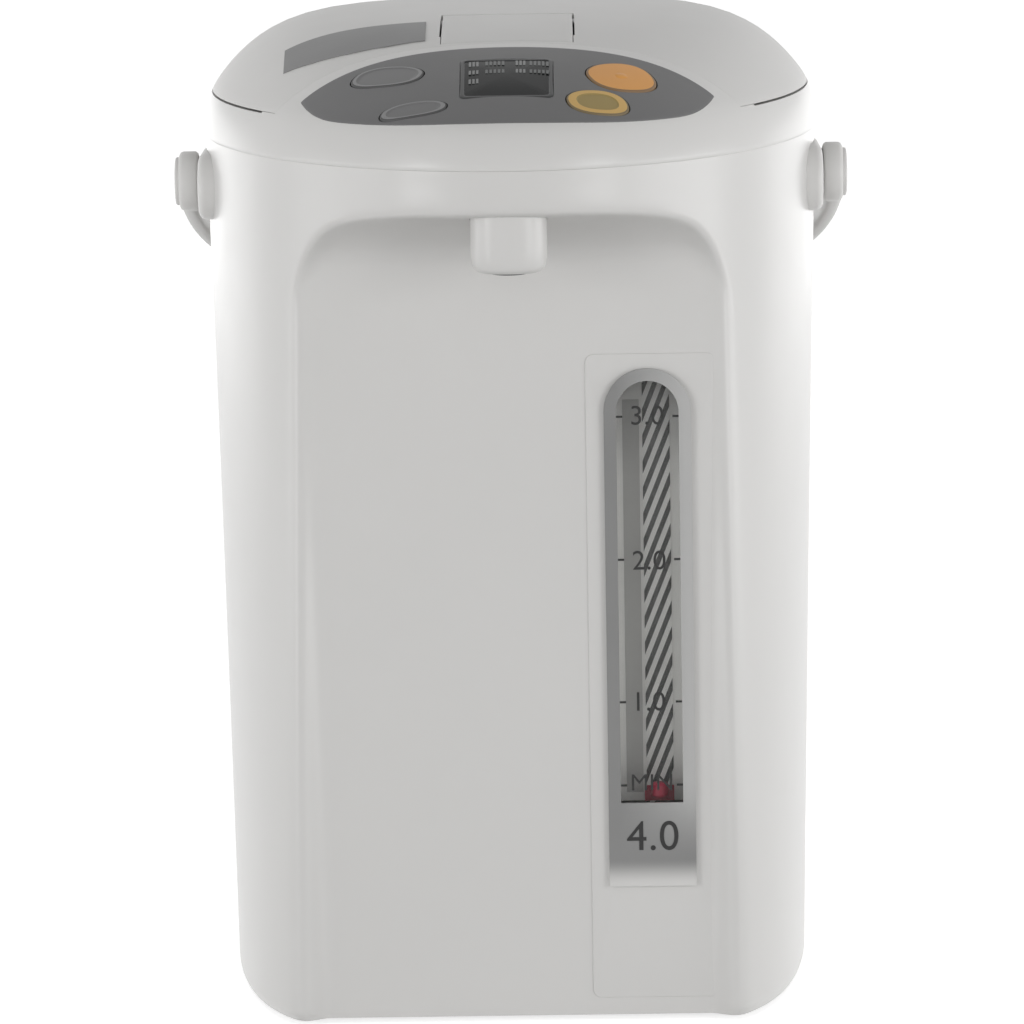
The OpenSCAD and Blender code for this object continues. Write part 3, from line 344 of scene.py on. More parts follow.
def wall_mesh(name, outer, inner):
    """A closed wall between two stacks of rings that run up from the same foot"""
    n = len(outer[0])
    start = n * len(outer)
    verts = [p for ring in outer for p in ring] + [p for ring in inner for p in ring]
    faces = ring_faces(n, len(outer), 0, True)
    faces += ring_faces(n, len(inner), start, False)
    faces += join_rims(n, start - n, start + n * (len(inner) - 1), True)
    faces += join_rims(n, 0, start, False)
    return put_mesh(name, verts, faces)


def cap(verts, faces, first, n, upward):
    """Closes a ring of n points with a fan around its middle"""
    middle = [sum(verts[first + k][i] for k in range(n)) / n for i in range(3)]
    verts.append(tuple(middle))
    m = len(verts) - 1
    for k in range(n):
        a, b = first + k, first + (k + 1) % n
        faces.append((a, b, m) if upward else (b, a, m))


def stack_mesh(name, rings):
    """A solid of stacked rings with closed ends"""
    n = len(rings[0])
    verts = [p for ring in rings for p in ring]
    faces = ring_faces(n, len(rings), 0, True)
    cap(verts, faces, 0, n, False)
    cap(verts, faces, n * (len(rings) - 1), n, True)
    return put_mesh(name, verts, faces)


def at_height(outline, z):
    return [(x, y, z) for x, y in outline]


def prism(name, outline, low, high):
    """An upright prism over a plan outline that runs counterclockwise"""
    return stack_mesh(name, [at_height(outline, low), at_height(outline, high)])


def box_outline(x0, y0, x1, y1):
    return [(x0, y0), (x1, y0), (x1, y1), (x0, y1)]


def block(name, low, high):
    (x0, y0, z0), (x1, y1, z1) = low, high
    return prism(name, box_outline(x0, y0, x1, y1), z0, z1)


def behind(y, z):
    """A block of all the room over z and behind y"""
    return block("room", (-BEYOND[0], y, z), BEYOND)


def circle(r, n=64, cx=0.0, cy=0.0):
    return [(cx + r * math.cos(2 * math.pi * i / n), cy + r * math.sin(2 * math.pi * i / n))
            for i in range(n)]


def turned(name, profile, n=64):
    """A solid turned round Z from (radius, height) pairs that run from its foot to its top"""
    return stack_mesh(name, [at_height(circle(r, n), z) for r, z in profile])


def ring_of(name, outer, bore, n=48):
    """A turned piece with a bore, from its profile and the bore's (radius, low, high)"""
    r, low, high = bore
    return boolean(turned(name, outer, n), turned("bore", [(r, low), (r, high)], 48))


def round_outline(w, d, r, steps=8, cx=0.0, cy=0.0):
    points = []
    for qx, qy, start in ((1, 1, 0), (-1, 1, 90), (-1, -1, 180), (1, -1, 270)):
        for i in range(steps + 1):
            a = math.radians(start + 90 * i / steps)
            points.append((cx + qx * (w / 2 - r) + r * math.cos(a),
                           cy + qy * (d / 2 - r) + r * math.sin(a)))
    return points


def soften(rings, weight, passes):
    """Evens out the points of closed rings where weight(x, y, z) is over 0"""
    grid = numpy.array(rings)
    share = numpy.array([[weight(*p) for p in ring] for ring in rings])[..., None] * 0.5
    share[0] = share[-1] = 0
    for _ in range(passes):
        around = (numpy.roll(grid, 1, 1) + numpy.roll(grid, -1, 1)) / 4
        around[1:-1] += (grid[:-2] + grid[2:]) / 4
        around[0] = around[-1] = 0
        grid += share * (around - grid)
    return [[tuple(p) for p in ring] for ring in grid.tolist()]


def transform(obj, matrix):
    obj.data.transform(matrix)
    obj.data.update()
    return obj


def move(obj, x=0.0, y=0.0, z=0.0):
    return transform(obj, Matrix.Translation((x * MM, y * MM, z * MM)))


def turn(obj, degrees, axis):
    return transform(obj, Matrix.Rotation(math.radians(degrees), 4, axis))


def across(obj, side):
    """Lays a piece that stands along Z along X, to the right (1) or to the left (-1)"""
    return turn(obj, 90 * side, "Y")


def drape(obj, form, lift=0.0):
    """Lays a piece that is built flat, heights and all, on the top of the pot"""
    for v in obj.data.vertices:
        x, y, z = (c / MM for c in v.co)
        v.co.z = (form.top_z(x, y) + z + lift) * MM
    obj.data.update()
    return obj


def applied(obj):
    """Applies every modifier of obj and keeps the object"""
    graph = bpy.context.evaluated_depsgraph_get()
    graph.update()
    mesh = bpy.data.meshes.new_from_object(obj.evaluated_get(graph))
    obj.modifiers.clear()
    old = obj.data
    obj.data = mesh
    if old.users == 0:
        bpy.data.meshes.remove(old)
    return obj


def remove(obj):
    mesh = obj.data
    bpy.data.objects.remove(obj)
    bpy.data.meshes.remove(mesh)


def boolean(obj, tool, operation="DIFFERENCE"):
    """Cuts, joins or trims obj by tool, which is then removed"""
    mod = obj.modifiers.new("cut", "BOOLEAN")
    mod.object = tool
    mod.operation = operation
    mod.solver = "MANIFOLD"
    bpy.context.view_layer.update()
    applied(obj)
    remove(tool)
    if not obj.data.polygons:
        raise RuntimeError(f"{obj.name}: the cut left nothing")
    return obj


def join(objs, name):
    """Several meshes in one object, each of them a closed shell"""
    bm = bmesh.new()
    for o in objs:
        bm.from_mesh(o.data)
        remove(o)
    mesh = bpy.data.meshes.new(name)
    bm.to_mesh(mesh)
    bm.free()
    obj = bpy.data.objects.new(name, mesh)
    bpy.context.scene.collection.objects.link(obj)
    return obj


def paint(obj, index, where):
    """Gives material index to the faces whose middle, in millimetres, passes where"""
    for face in obj.data.polygons:
        if where(*(c / MM for c in face.center)):
            face.material_index = index


def round_edges(obj, width, segments=3, angle=35):
    """Rounds the hard edges of a piece"""
    mod = obj.modifiers.new("round_edges", "BEVEL")
    mod.width = width * MM
    mod.segments = segments
    mod.limit_method = "ANGLE"
    mod.angle_limit = math.radians(angle)
    return applied(obj)


def seat(obj, body, slot, finish, *nodes, angle=32):
    """Shades a finished piece and ties it to its finish, body and CAD nodes; slot is not used"""
    mesh = obj.data
    mesh.shade_smooth()
    mesh.set_sharp_from_angle(angle=math.radians(angle))
    painted = [face.material_index for face in mesh.polygons]
    mesh.materials.clear()
    for key in [finish] if isinstance(finish, str) else finish:
        mesh.materials.append(MATERIALS[key])
    mesh.polygons.foreach_set("material_index", painted)
    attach(obj, body)
    if nodes:
        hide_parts(*nodes)


FRONT_FRAME = (Matrix.Translation((0, -FRONT_FOOT * MM, 0))
               @ Matrix.Rotation(-FRONT_LEAN, 4, "X"))


def on_front(obj):
    return transform(obj, FRONT_FRAME)


def slot_outline(w, low, high, steps=24):
    """An upright slot with a round top, as (x, z) points"""
    points = [(-w / 2, low), (w / 2, low)]
    for i in range(steps + 1):
        a = math.pi * i / steps
        points.append((w / 2 * math.cos(a), high - w / 2 + w / 2 * math.sin(a)))
    return points


def upright_prism(name, outline, y0, y1, x=0.0):
    """A prism over an (x, z) outline, from depth y0 to y1 of the leaning front"""
    rings = [[(x + px, y1, pz) for px, pz in outline], [(x + px, y0, pz) for px, pz in outline]]
    return on_front(stack_mesh(name, rings))


def plate(name, outline_at, heights):
    """A flat-built plate: outline_at(s) gives the plan of each ring, from (s, height) pairs"""
    return stack_mesh(name, [at_height(outline_at(s), z) for s, z in heights])


def level(height, *shares):
    """Steps of a plate that lie at one height"""
    return [(s, height) for s in shares]


def toward(points, centre, s):
    """A plan outline drawn in towards a point"""
    return [(mix(centre[0], x, s), mix(centre[1], y, s)) for x, y in points]


# ---------------------------------------------------------------- node trees, rows and figures


def wired(tree, kinds, links):
    """Adds named nodes to a tree and links them by (from, output, to, input)"""
    nodes = {name: tree.nodes.new(kind) for name, kind in kinds.items()}
    for a, output, b, entry in links:
        tree.links.new(nodes[a].outputs[output], nodes[b].inputs[entry])
    return nodes


def row_tree():
    """Geometry nodes: a row of equal blocks, slanted and given one material"""
    tree = bpy.data.node_groups.new("row_of_blocks", "GeometryNodeTree")
    for name, kind in (("Count", "Int"), ("Step", "Vector"), ("Size", "Vector"),
                       ("Slant", "Float"), ("Finish", "Material")):
        tree.interface.new_socket(name, in_out="INPUT", socket_type="NodeSocket" + kind)
    tree.interface.new_socket("Geometry", in_out="OUTPUT", socket_type="NodeSocketGeometry")
    kinds = {"given": "NodeGroupInput", "out": "NodeGroupOutput", "line": "GeometryNodeMeshLine",
             "cube": "GeometryNodeMeshCube", "copies": "GeometryNodeInstanceOnPoints",
             "real": "GeometryNodeRealizeInstances", "place": "GeometryNodeInputPosition",
             "parts": "ShaderNodeSeparateXYZ", "times": "ShaderNodeMath",
             "rise": "ShaderNodeCombineXYZ", "lean": "GeometryNodeSetPosition",
             "finish": "GeometryNodeSetMaterial"}
    nodes = wired(tree, kinds, (
        ("given", "Count", "line", "Count"), ("given", "Step", "line", "Offset"),
        ("given", "Size", "cube", "Size"), ("line", 0, "copies", "Points"),
        ("cube", 0, "copies", "Instance"), ("copies", 0, "real", 0), ("place", 0, "parts", 0),
        ("parts", "X", "times", 0), ("given", "Slant", "times", 1), ("times", 0, "rise", "Z"),
        ("real", 0, "lean", "Geometry"), ("rise", 0, "lean", "Offset"),
        ("lean", 0, "finish", "Geometry"), ("given", "Finish", "finish", "Material"),
        ("finish", 0, "out", 0)))
    nodes["times"].operation = "MULTIPLY"
    return tree


# Height of a capital letter as a share of the font's size
CAPITAL_SHARE = 0.7


def row_of_blocks(name, count, step, size, start, slant=0.0, material=None):
    """A row of equal blocks, in millimetres, made by the geometry nodes above"""
    tree = bpy.data.node_groups.get("row_of_blocks") or row_tree()
    keys = {item.name: item.identifier for item in tree.interface.items_tree
            if item.in_out == "INPUT"}
    obj = put_mesh(name, [], [])
    mod = obj.modifiers.new("row", "NODES")
    mod.node_group = tree
    mod[keys["Count"]] = count
    mod[keys["Step"]] = [c * MM for c in step]
    mod[keys["Size"]] = [c * MM for c in size]
    mod[keys["Slant"]] = slant
    if material:
        mod[keys["Finish"]] = material
    bpy.context.view_layer.update()
    return move(applied(obj), *start)


def lettering(body, height, centre):
    """Raised figures as a mesh, upright in x and z, their middle at centre"""
    curve = bpy.data.curves.new("figure", "FONT")
    curve.body = body
    curve.size = height / CAPITAL_SHARE * MM
    curve.extrude = 0.12 * MM
    curve.align_x, curve.align_y = "CENTER", "CENTER"
    curve.space_character = 1.04
    text = bpy.data.objects.new("figure_text", curve)
    bpy.context.scene.collection.objects.link(text)
    graph = bpy.context.evaluated_depsgraph_get()
    mesh = bpy.data.meshes.new_from_object(text.evaluated_get(graph))
    bpy.data.objects.remove(text)
    bpy.data.curves.remove(curve)
    bm = bmesh.new()
    bm.from_mesh(mesh)
    bmesh.ops.remove_doubles(bm, verts=bm.verts, dist=1e-7)
    bm.to_mesh(mesh)
    bm.free()
    obj = bpy.data.objects.new("figure", mesh)
    bpy.context.scene.collection.objects.link(obj)
    turn(obj, 90, "X")
    xs = [v.co.x for v in mesh.vertices]
    zs = [v.co.z for v in mesh.vertices]
    middle = ((min(xs) + max(xs)) / 2, (min(zs) + max(zs)) / 2)
    return move(obj, centre[0] - middle[0] / MM, centre[1], centre[2] - middle[1] / MM)


# ---------------------------------------------------------------- materials


class Nodes:
    """A short way to write a material's node tree"""

    def __init__(self, name):
        self.material = bpy.data.materials.new(name)
        self.material.use_nodes = True
        self.tree = self.material.node_tree
        self.tree.nodes.clear()
        self.out = self.add("ShaderNodeOutputMaterial")
        self.shader = self.add("ShaderNodeBsdfPrincipled")
        self.link(self.shader.outputs[0], self.out.inputs["Surface"])
        self.place = None

    def add(self, kind, **values):
        node = self.tree.nodes.new(kind)
        for key, value in values.items():
            if key in node.bl_rna.properties:
                setattr(node, key, value)
            else:
                node.inputs[key.replace("_", " ")].default_value = value
        return node

    def link(self, a, b):
        self.tree.links.new(a, b)

    def object_place(self):
        if self.place is None:
            self.place = self.add("ShaderNodeTexCoord")
        return self.place.outputs["Object"]

    def set(self, **values):
        for key, value in values.items():
            self.shader.inputs[key.replace("_", " ")].default_value = value

    def noise(self, scale, detail=3.0, stretch=None):
        tex = self.add("ShaderNodeTexNoise", Scale=scale, Detail=detail)
        source = self.object_place()
        if stretch:
            mapping = self.add("ShaderNodeMapping", Scale=stretch)
            self.link(source, mapping.inputs["Vector"])
            source = mapping.outputs["Vector"]
        self.link(source, tex.inputs["Vector"])
        return tex.outputs["Fac"]

    def ramp(self, source, low, high, to_low=0.0, to_high=1.0, curve="LINEAR"):
        """Maps low to high onto to_low to to_high"""
        node = self.add("ShaderNodeMapRange", interpolation_type=curve, From_Min=low,
                        From_Max=high, To_Min=to_low, To_Max=to_high)
        self.link(source, node.inputs["Value"])
        return node.outputs["Result"]

    def spread(self, source, low, high):
        """Maps a 0.3 to 0.7 pattern onto low to high"""
        return self.ramp(source, 0.3, 0.7, low, high)

    def blend(self, share, *ends):
        """A colour between two, each of them an output or a colour"""
        node = self.add("ShaderNodeMix", data_type="RGBA")
        self.link(share, node.inputs["Factor"])
        for end, entry in zip(ends, node.inputs[6:8]):
            if isinstance(end, bpy.types.NodeSocket):
                self.link(end, entry)
            else:
                entry.default_value = (*end, 1)
        return node.outputs[2]

    def tint(self, source, low, high):
        """A colour between two, by a 0.3 to 0.7 pattern"""
        return self.blend(self.spread(source, 0, 1), low, high)

    def cover(self, colour, rough):
        """Gives the surface its colour and roughness"""
        self.link(colour, self.shader.inputs["Base Color"])
        self.link(rough, self.shader.inputs["Roughness"])

    def bump(self, source, strength, distance):
        node = self.add("ShaderNodeBump", Strength=strength, Distance=distance)
        self.link(source, node.inputs["Height"])
        self.link(node.outputs["Normal"], self.shader.inputs["Normal"])


def scaled(rgb, k):
    return tuple(min(c * k, 1) for c in rgb)


def moulded_plastic(name, rgb, rough=0.3, grain=1400, depth=0.00001, vary=0.006, gloss=0.5):
    """Moulded plastic: a fine grain, faint flow marks and an uneven sheen"""
    n = Nodes(name)
    n.cover(n.tint(n.noise(14, 2), scaled(rgb, 1 - vary), scaled(rgb, 1 + vary)),
            n.spread(n.noise(60, 4), rough - 0.015, rough + 0.015))
    n.bump(n.noise(grain, 2), 0.25, depth)
    n.set(IOR=1.46, Specular_IOR_Level=gloss)
    return n.material


def brushed_metal(name, rgb, rough=0.28):
    n = Nodes(name)
    lines = n.noise(40, 6, stretch=(1, 1, 30))
    n.cover(n.tint(lines, scaled(rgb, 0.9), scaled(rgb, 1.08)),
            n.spread(lines, rough - 0.07, rough + 0.09))
    n.bump(lines, 0.2, 0.00002)
    n.set(Metallic=1.0)
    return n.material


def soft_rubber(name, rgb, rough=0.75):
    n = Nodes(name)
    grain = n.noise(900, 4)
    n.cover(n.tint(n.noise(30), scaled(rgb, 0.85), scaled(rgb, 1.15)),
            n.spread(grain, rough - 0.08, rough + 0.06))
    n.bump(grain, 0.4, 0.00003)
    return n.material


def clear_plastic(name, rgb, alpha, rough=0.06):
    n = Nodes(name)
    n.cover(n.tint(n.noise(50), scaled(rgb, 0.97), scaled(rgb, 1.03)),
            n.spread(n.noise(120), rough, rough + 0.05))
    n.set(Alpha=alpha, IOR=1.45)
    return n.material


def painted_light_trim(name, rgb, painted_light_rgb, foot_rgb, middle):
    """Satin grey with painted light: lighter to the right beside the window, where the light falls,
    and fading into white at its foot
    """
    n = Nodes(name)
    parts = n.add("ShaderNodeSeparateXYZ")
    n.link(n.object_place(), parts.inputs[0])
    share = n.add("ShaderNodeMath", operation="MULTIPLY")
    # painted light: the trim turns lighter towards its right side, above its foot
    n.link(n.ramp(parts.outputs["X"], middle - 0.011, middle + 0.013), share.inputs[0])
    n.link(n.ramp(parts.outputs["Z"], 0.055, 0.085, curve="SMOOTHSTEP"), share.inputs[1])
    satin = n.tint(n.noise(18), scaled(rgb, 0.96), scaled(rgb, 1.05))
    satin_and_painted_light = n.blend(share.outputs[0], satin, painted_light_rgb)
    foot = n.ramp(parts.outputs["Z"], 0.0565, 0.0475, curve="SMOOTHSTEP")
    n.cover(n.blend(foot, satin_and_painted_light, foot_rgb), n.spread(n.noise(60, 4), 0.3, 0.38))
    n.bump(n.noise(1400, 2), 0.25, 0.00001)
    return n.material


def circuit_board(name):
    n = Nodes(name)
    cells = n.add("ShaderNodeTexVoronoi", Scale=260.0)
    n.link(n.object_place(), cells.inputs["Vector"])
    n.cover(n.tint(cells.outputs["Distance"], (0.012, 0.09, 0.035), (0.03, 0.16, 0.07)),
            n.spread(n.noise(90), 0.3, 0.42))
    n.bump(cells.outputs["Distance"], 0.2, 0.00003)
    return n.material


def make_materials(finish, gauge_x):
    white = tuple(finish.casing)
    grey = tuple(finish.panel)
    return {
        "casing": moulded_plastic("casing_white", white),
        "lid": moulded_plastic("lid_white", white, rough=0.42),
        "handle": moulded_plastic("handle_white", scaled(white, 1.08), rough=0.4),
        "panel": moulded_plastic("panel_grey", grey, rough=0.5, grain=2600, depth=0.000015),
        "key_grey": moulded_plastic("key_grey", scaled(grey, 1.12), rough=0.45, grain=2600),
        # the grey keys' dark rim is a painted shadow of the gap round each key, and their lighter
        # band a painted highlight on the ridge
        "key_painted_gap_shadow": moulded_plastic("painted_gap_shadow_grey", scaled(grey, 0.45), rough=0.5),
        "key_painted_highlight": moulded_plastic("painted_highlight_grey", scaled(grey, 1.7), rough=0.42),
        "orange": moulded_plastic("key_orange", tuple(finish.orange), rough=0.4, vary=0.05),
        # the orange and gold keys' dark rims are a painted shadow of the gap round each key
        "orange_painted_gap_shadow": moulded_plastic("painted_gap_shadow_orange", (0.20, 0.12, 0.055), rough=0.45),
        "gold": moulded_plastic("key_gold", tuple(finish.gold), rough=0.4, vary=0.05),
        "gold_painted_gap_shadow": moulded_plastic("painted_gap_shadow_gold", (0.16, 0.12, 0.06), rough=0.45),
        # painted shade: the unlock key's hollow inner field is coloured darker
        "gold_painted_hollow_shade": moulded_plastic("gold_key_painted_hollow_shade", (0.29, 0.215, 0.075), rough=0.5),
        "display": moulded_plastic("display_glass", tuple(finish.display), rough=0.22,
                                   grain=300, depth=0.000002, gloss=0.15),
        "display_frame": moulded_plastic("display_frame", (0.022, 0.023, 0.024), rough=0.3),
        "display_mark": moulded_plastic("display_mark", (0.075, 0.08, 0.08), rough=0.3),
        "display_icon": moulded_plastic("display_icon", (0.17, 0.175, 0.175), rough=0.3),
        # the trim's second colour is painted light on its right side
        "trim": painted_light_trim("gauge_trim", (0.215, 0.215, 0.213), (0.43, 0.43, 0.425), white,
                           gauge_x),
        "ink": moulded_plastic("gauge_ink", (0.012, 0.012, 0.012), rough=0.45),
        "scale": moulded_plastic("gauge_scale", (0.74, 0.74, 0.72), rough=0.5),
        # a painted shadow: the darker strip on the scale where shade falls beside the level pipe
        "scale_dark": moulded_plastic("gauge_scale_shade", (0.42, 0.42, 0.41), rough=0.5),
        "stripe": moulded_plastic("gauge_stripe", (0.03, 0.03, 0.03), rough=0.5),
        "stripe_light": moulded_plastic("gauge_stripe_light", (0.80, 0.80, 0.78), rough=0.5),
        "float": moulded_plastic("gauge_float", (0.42, 0.02, 0.06), rough=0.4),
        "window": clear_plastic("gauge_window", (0.45, 0.45, 0.43), 0.03),
        "pipe": clear_plastic("level_pipe", (0.8, 0.8, 0.8), 0.03),
        "label": moulded_plastic("label_grey", (0.20, 0.20, 0.20), rough=0.5, grain=700,
                                 depth=0.00002, vary=0.08),
        "dark": moulded_plastic("dark_plastic", (0.02, 0.02, 0.021), rough=0.5),
        "steel": brushed_metal("stainless", (0.62, 0.62, 0.61)),
        "fastener": brushed_metal("fastener_steel", (0.5, 0.5, 0.5), 0.35),
        "brass": brushed_metal("brass", (0.75, 0.55, 0.25), 0.3),
        "rubber": soft_rubber("pad_rubber", (0.02, 0.02, 0.02)),
        "silicone": soft_rubber("silicone", (0.55, 0.55, 0.53), 0.6),
        "mica": moulded_plastic("mica", (0.32, 0.26, 0.15), rough=0.55, grain=500, vary=0.15),
        "board": circuit_board("circuit_board"),
    }


MATERIALS = {}

# The CAD nodes that take each finish
FINISH_NODES = {
    "casing": "base_cover tip_valve outlet_pipe mouth_ring impeller body_shell top_ring"
              " front_cover gauge_panel spout_cover",
    "lid": "lid_base steam_vent hinge_block open_lever lid_cover",
    "handle": "left_ear right_ear handle hub_caps",
    # pivot_pins take the dark finish as painted shade: the steel pins show only in the shaded gap
    # between ear and hub
    "dark": "swivel_base lcd_module key_switches thermostat pump_housing power_inlet"
            " pivot_pins latch",
    "fastener": "swivel_clip base_screws heater_clamp hinge_pin lid_screws lever_pin"
                " latch_spring",
    "steel": "inner_container outer_sleeve pump_motor lid_inner_plate",
    "silicone": "inlet_hose outlet_hose lid_gasket",
    "brass": "thermal_fuse inlet_pins", "board": "switch_board power_board",
    "key_grey": "reboil_button select_button", "orange": "dispense_button",
    "gold": "unlock_button", "rubber": "foot_pads", "pipe": "level_pipe", "mica": "heater",
    "label": "lid_label", "trim": "gauge_trim", "window": "gauge_window",
    "scale": "gauge_scale", "panel": "control_panel", "display": "lcd_window",
}
NODE_FINISH = {node: finish for finish, nodes in FINISH_NODES.items() for node in nodes.split()}


class THERMOPOT_OT_finishes(bpy.types.Operator):
    """Makes the materials and gives every CAD node its finish"""

    bl_idname = "thermopot.finishes"
    bl_label = "Finishes"

    def execute(self, context):
        MATERIALS.update(make_materials(context.scene.thermo_pot_finish,
                                        context.scene.thermo_pot_shape.gauge_x))
        for name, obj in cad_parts.items():
            if name not in NODE_FINISH:
                raise RuntimeError(f"no finish for the node {name}")
            material = MATERIALS[NODE_FINISH[name]]
            if obj.material_slots:
                for slot in obj.material_slots:
                    slot.material = material
            else:
                obj.data.materials.append(material)
        return {"FINISHED"}


# ---------------------------------------------------------------- stage


def seen_plainly(tree):
    """A value that is 1 for camera, glossy and transmission rays"""
    path = tree.nodes.new("ShaderNodeLightPath")
    value = path.outputs["Is Camera Ray"]
    for ray in ("Is Glossy Ray", "Is Transmission Ray"):
        either = tree.nodes.new("ShaderNodeMath")
        either.operation = "MAXIMUM"
        tree.links.new(value, either.inputs[0])
        tree.links.new(path.outputs[ray], either.inputs[1])
        value = either.outputs[0]
    return value


def floor_material():
    """The floor takes the object's shadow, and is white to the camera where it is lit"""
    n = Nodes("floor_pale")
    n.set(Base_Color=(0.8, 0.8, 0.8, 1), Roughness=0.9, Specular_IOR_Level=0.1)
    glow = n.add("ShaderNodeEmission", Color=(1, 1, 1, 1))
    lift = n.add("ShaderNodeMath", operation="MULTIPLY")
    lift.inputs[1].default_value = FLOOR_GLOW
    n.link(seen_plainly(n.tree), lift.inputs[0])
    n.link(lift.outputs[0], glow.inputs["Strength"])
    both = n.add("ShaderNodeAddShader")
    n.link(n.shader.outputs[0], both.inputs[0])
    n.link(glow.outputs[0], both.inputs[1])
    n.link(both.outputs[0], n.out.inputs["Surface"])
    return n.material


def area_lamp(name, place, width, height, power):
    lamp = bpy.data.lights.new(name, "AREA")
    lamp.shape = "RECTANGLE"
    lamp.size, lamp.size_y = width, height
    lamp.energy = power
    obj = bpy.data.objects.new(name, lamp)
    obj.location = place
    aim = Vector(LAMP_AIM) - Vector(place)
    obj.rotation_euler = aim.to_track_quat("-Z", "Y").to_euler()
    obj.visible_camera = False
    bpy.context.scene.collection.objects.link(obj)


# Half width of the floor in metres, and its glow to the camera
FLOOR_HALF, FLOOR_GLOW = 30, 0.7
CAMERA_PLACE = Vector((0.015, -2.010, 0.482))
CAMERA_AIM = Vector((-0.0015, 0.0, 0.1576))
CAMERA_ROLL = math.radians(-0.9)
CAMERA_LENS = 196.2
# Strength of the studio's light near the horizon and overhead
SKY_LOW, SKY_HIGH, SKY_TOP = 1.1, 0.34, 0.75
# Point that the lamps face, and the name, place, width, height and power of each
LAMP_AIM = (0, 0, 0.17)
LAMPS = (("side_right", (1.7, -0.1, 0.2), 1.3, 0.4, 5),
         ("side_left", (-1.7, -0.1, 0.2), 1.3, 0.4, 2.8),
         ("rim_right", (1.0, 1.7, 0.2), 1.3, 0.4, 1.8),
         ("rim_left", (-1.0, 1.7, 0.2), 1.3, 0.4, 2.0),
         ("front_right", (1.5, -1.4, 0.4), 0.7, 0.7, 8),
         ("front_left", (-1.5, -1.4, 0.4), 0.7, 0.7, 8))


class THERMOPOT_OT_stage(bpy.types.Operator):
    """Sets up the floor, the studio light and the camera"""

    bl_idname = "thermopot.stage"
    bl_label = "Stage"

    def execute(self, context):
        scene = context.scene
        scene.view_settings.view_transform = "Standard"
        corners = at_height(box_outline(-FLOOR_HALF, -FLOOR_HALF, FLOOR_HALF, FLOOR_HALF), 0)
        floor = put_mesh("floor", corners, [(0, 1, 2, 3)], scale=1)
        floor.data.materials.append(floor_material())

        world = bpy.data.worlds.new("studio")
        world.use_nodes = True
        tree = world.node_tree
        tree.nodes.clear()
        kinds = {"out": "ShaderNodeOutputWorld", "way": "ShaderNodeTexCoord",
                 "parts": "ShaderNodeSeparateXYZ", "rise": "ShaderNodeMapRange",
                 "soft": "ShaderNodeBackground", "plain": "ShaderNodeBackground",
                 "both": "ShaderNodeMixShader"}
        nodes = wired(tree, kinds, (
            ("way", "Generated", "parts", 0), ("parts", "Z", "rise", "Value"),
            ("rise", "Result", "soft", "Strength"), ("soft", 0, "both", 1),
            ("plain", 0, "both", 2), ("both", 0, "out", "Surface")))
        tree.links.new(seen_plainly(tree), nodes["both"].inputs[0])
        nodes["rise"].interpolation_type = "SMOOTHSTEP"
        for key, value in (("From Max", SKY_TOP), ("To Min", SKY_LOW), ("To Max", SKY_HIGH)):
            nodes["rise"].inputs[key].default_value = value
        for key in ("soft", "plain"):
            nodes[key].inputs["Color"].default_value = (1, 1, 1, 1)
        scene.world = world

        for lamp in LAMPS:
            area_lamp(*lamp)

        cam = bpy.data.cameras.new("camera")
        cam.lens = CAMERA_LENS
        cam.sensor_width = 36
        cam.clip_start = 0.1
        view = bpy.data.objects.new("camera", cam)
        aim = (CAMERA_AIM - CAMERA_PLACE).to_track_quat("-Z", "Y").to_matrix()
        aim = aim @ Matrix.Rotation(CAMERA_ROLL, 3, "Z")
        view.matrix_world = Matrix.Translation(CAMERA_PLACE) @ aim.to_4x4()
        scene.collection.objects.link(view)
        scene.camera = view
        return {"FINISHED"}


# ---------------------------------------------------------------- body casing


def cornered(points, at, radius):
    """Replaces the corner at one index of an open line by a short curve"""
    a = [Vector(p) for p in points]
    corner = a[at]

    def walk(step):
        left, i = radius, at
        while 0 <= i + step < len(a):
            gap = (a[i + step] - a[i]).length
            if gap >= left:
                return i + step, a[i].lerp(a[i + step], left / gap)
            left -= gap
            i += step
        return i, a[i]

    before, p = walk(-1)
    after, q = walk(1)
    count = after - before - 1
    for j in range(1, count + 1):
        t = j / (count + 1)
        a[before + j] = (1 - t) ** 2 * p + 2 * t * (1 - t) * corner + t * t * q
    return [tuple(v) for v in a]


def casing_turns():
    """Angles of the upright lines, closer together at the corners of the flat front"""
    turns, t = [], 0.0
    while t < 360 - 1e-6:
        turns.append(math.radians(t))
        beside_front = t > 180 and 0.3 < abs(math.cos(math.radians(t))) < 0.82
        t += 0.5 if beside_front else 1.25
    return turns


def casing_column(form, t):
    """One upright line of the casing's outside, from the foot to the seam"""
    levels = [FLOOR_GAP + 4 * (i / 6) for i in range(7)]
    x_lip = form.body_point(t, form.lip_z - 10, 0)[0]
    if math.sin(t) > 0:
        x_lip = FLAT_HALF + 5
    top = form.lip_at(x_lip)
    low = top - form.cove_h
    rows = 26
    levels += [mix(FLOOR_GAP + 4, low, i / rows) for i in range(1, rows + 1)]
    points = [form.body_point(t, z, 0) for z in levels]
    turns = 40
    for i in range(1, turns + 1):
        a = math.pi / 2 * i / turns
        points.append(form.body_point(t, low + form.cove_h * math.sin(a), 0, cove=a))
    lip = len(points) - 1
    above = 14
    for i in range(1, above + 1):
        points.append(form.body_point(t, mix(top, form.seam_z, i / above), 0,
                                      cove=math.pi / 2))
    return cornered(points, lip, 3.5)


def recess_edge(x, y, z):
    """Where the casing's edges are evened out: round the flat front"""
    if y > -60:
        return 0
    beside = smooth((92 - abs(x)) / 10) * smooth((z - 6) / 8)
    top = smooth((z - 215) / 20) * smooth((297.5 - z) / 5)
    sides = smooth((abs(x) - 52) / 8)
    return beside * max(top, sides * smooth((297.5 - z) / 5))


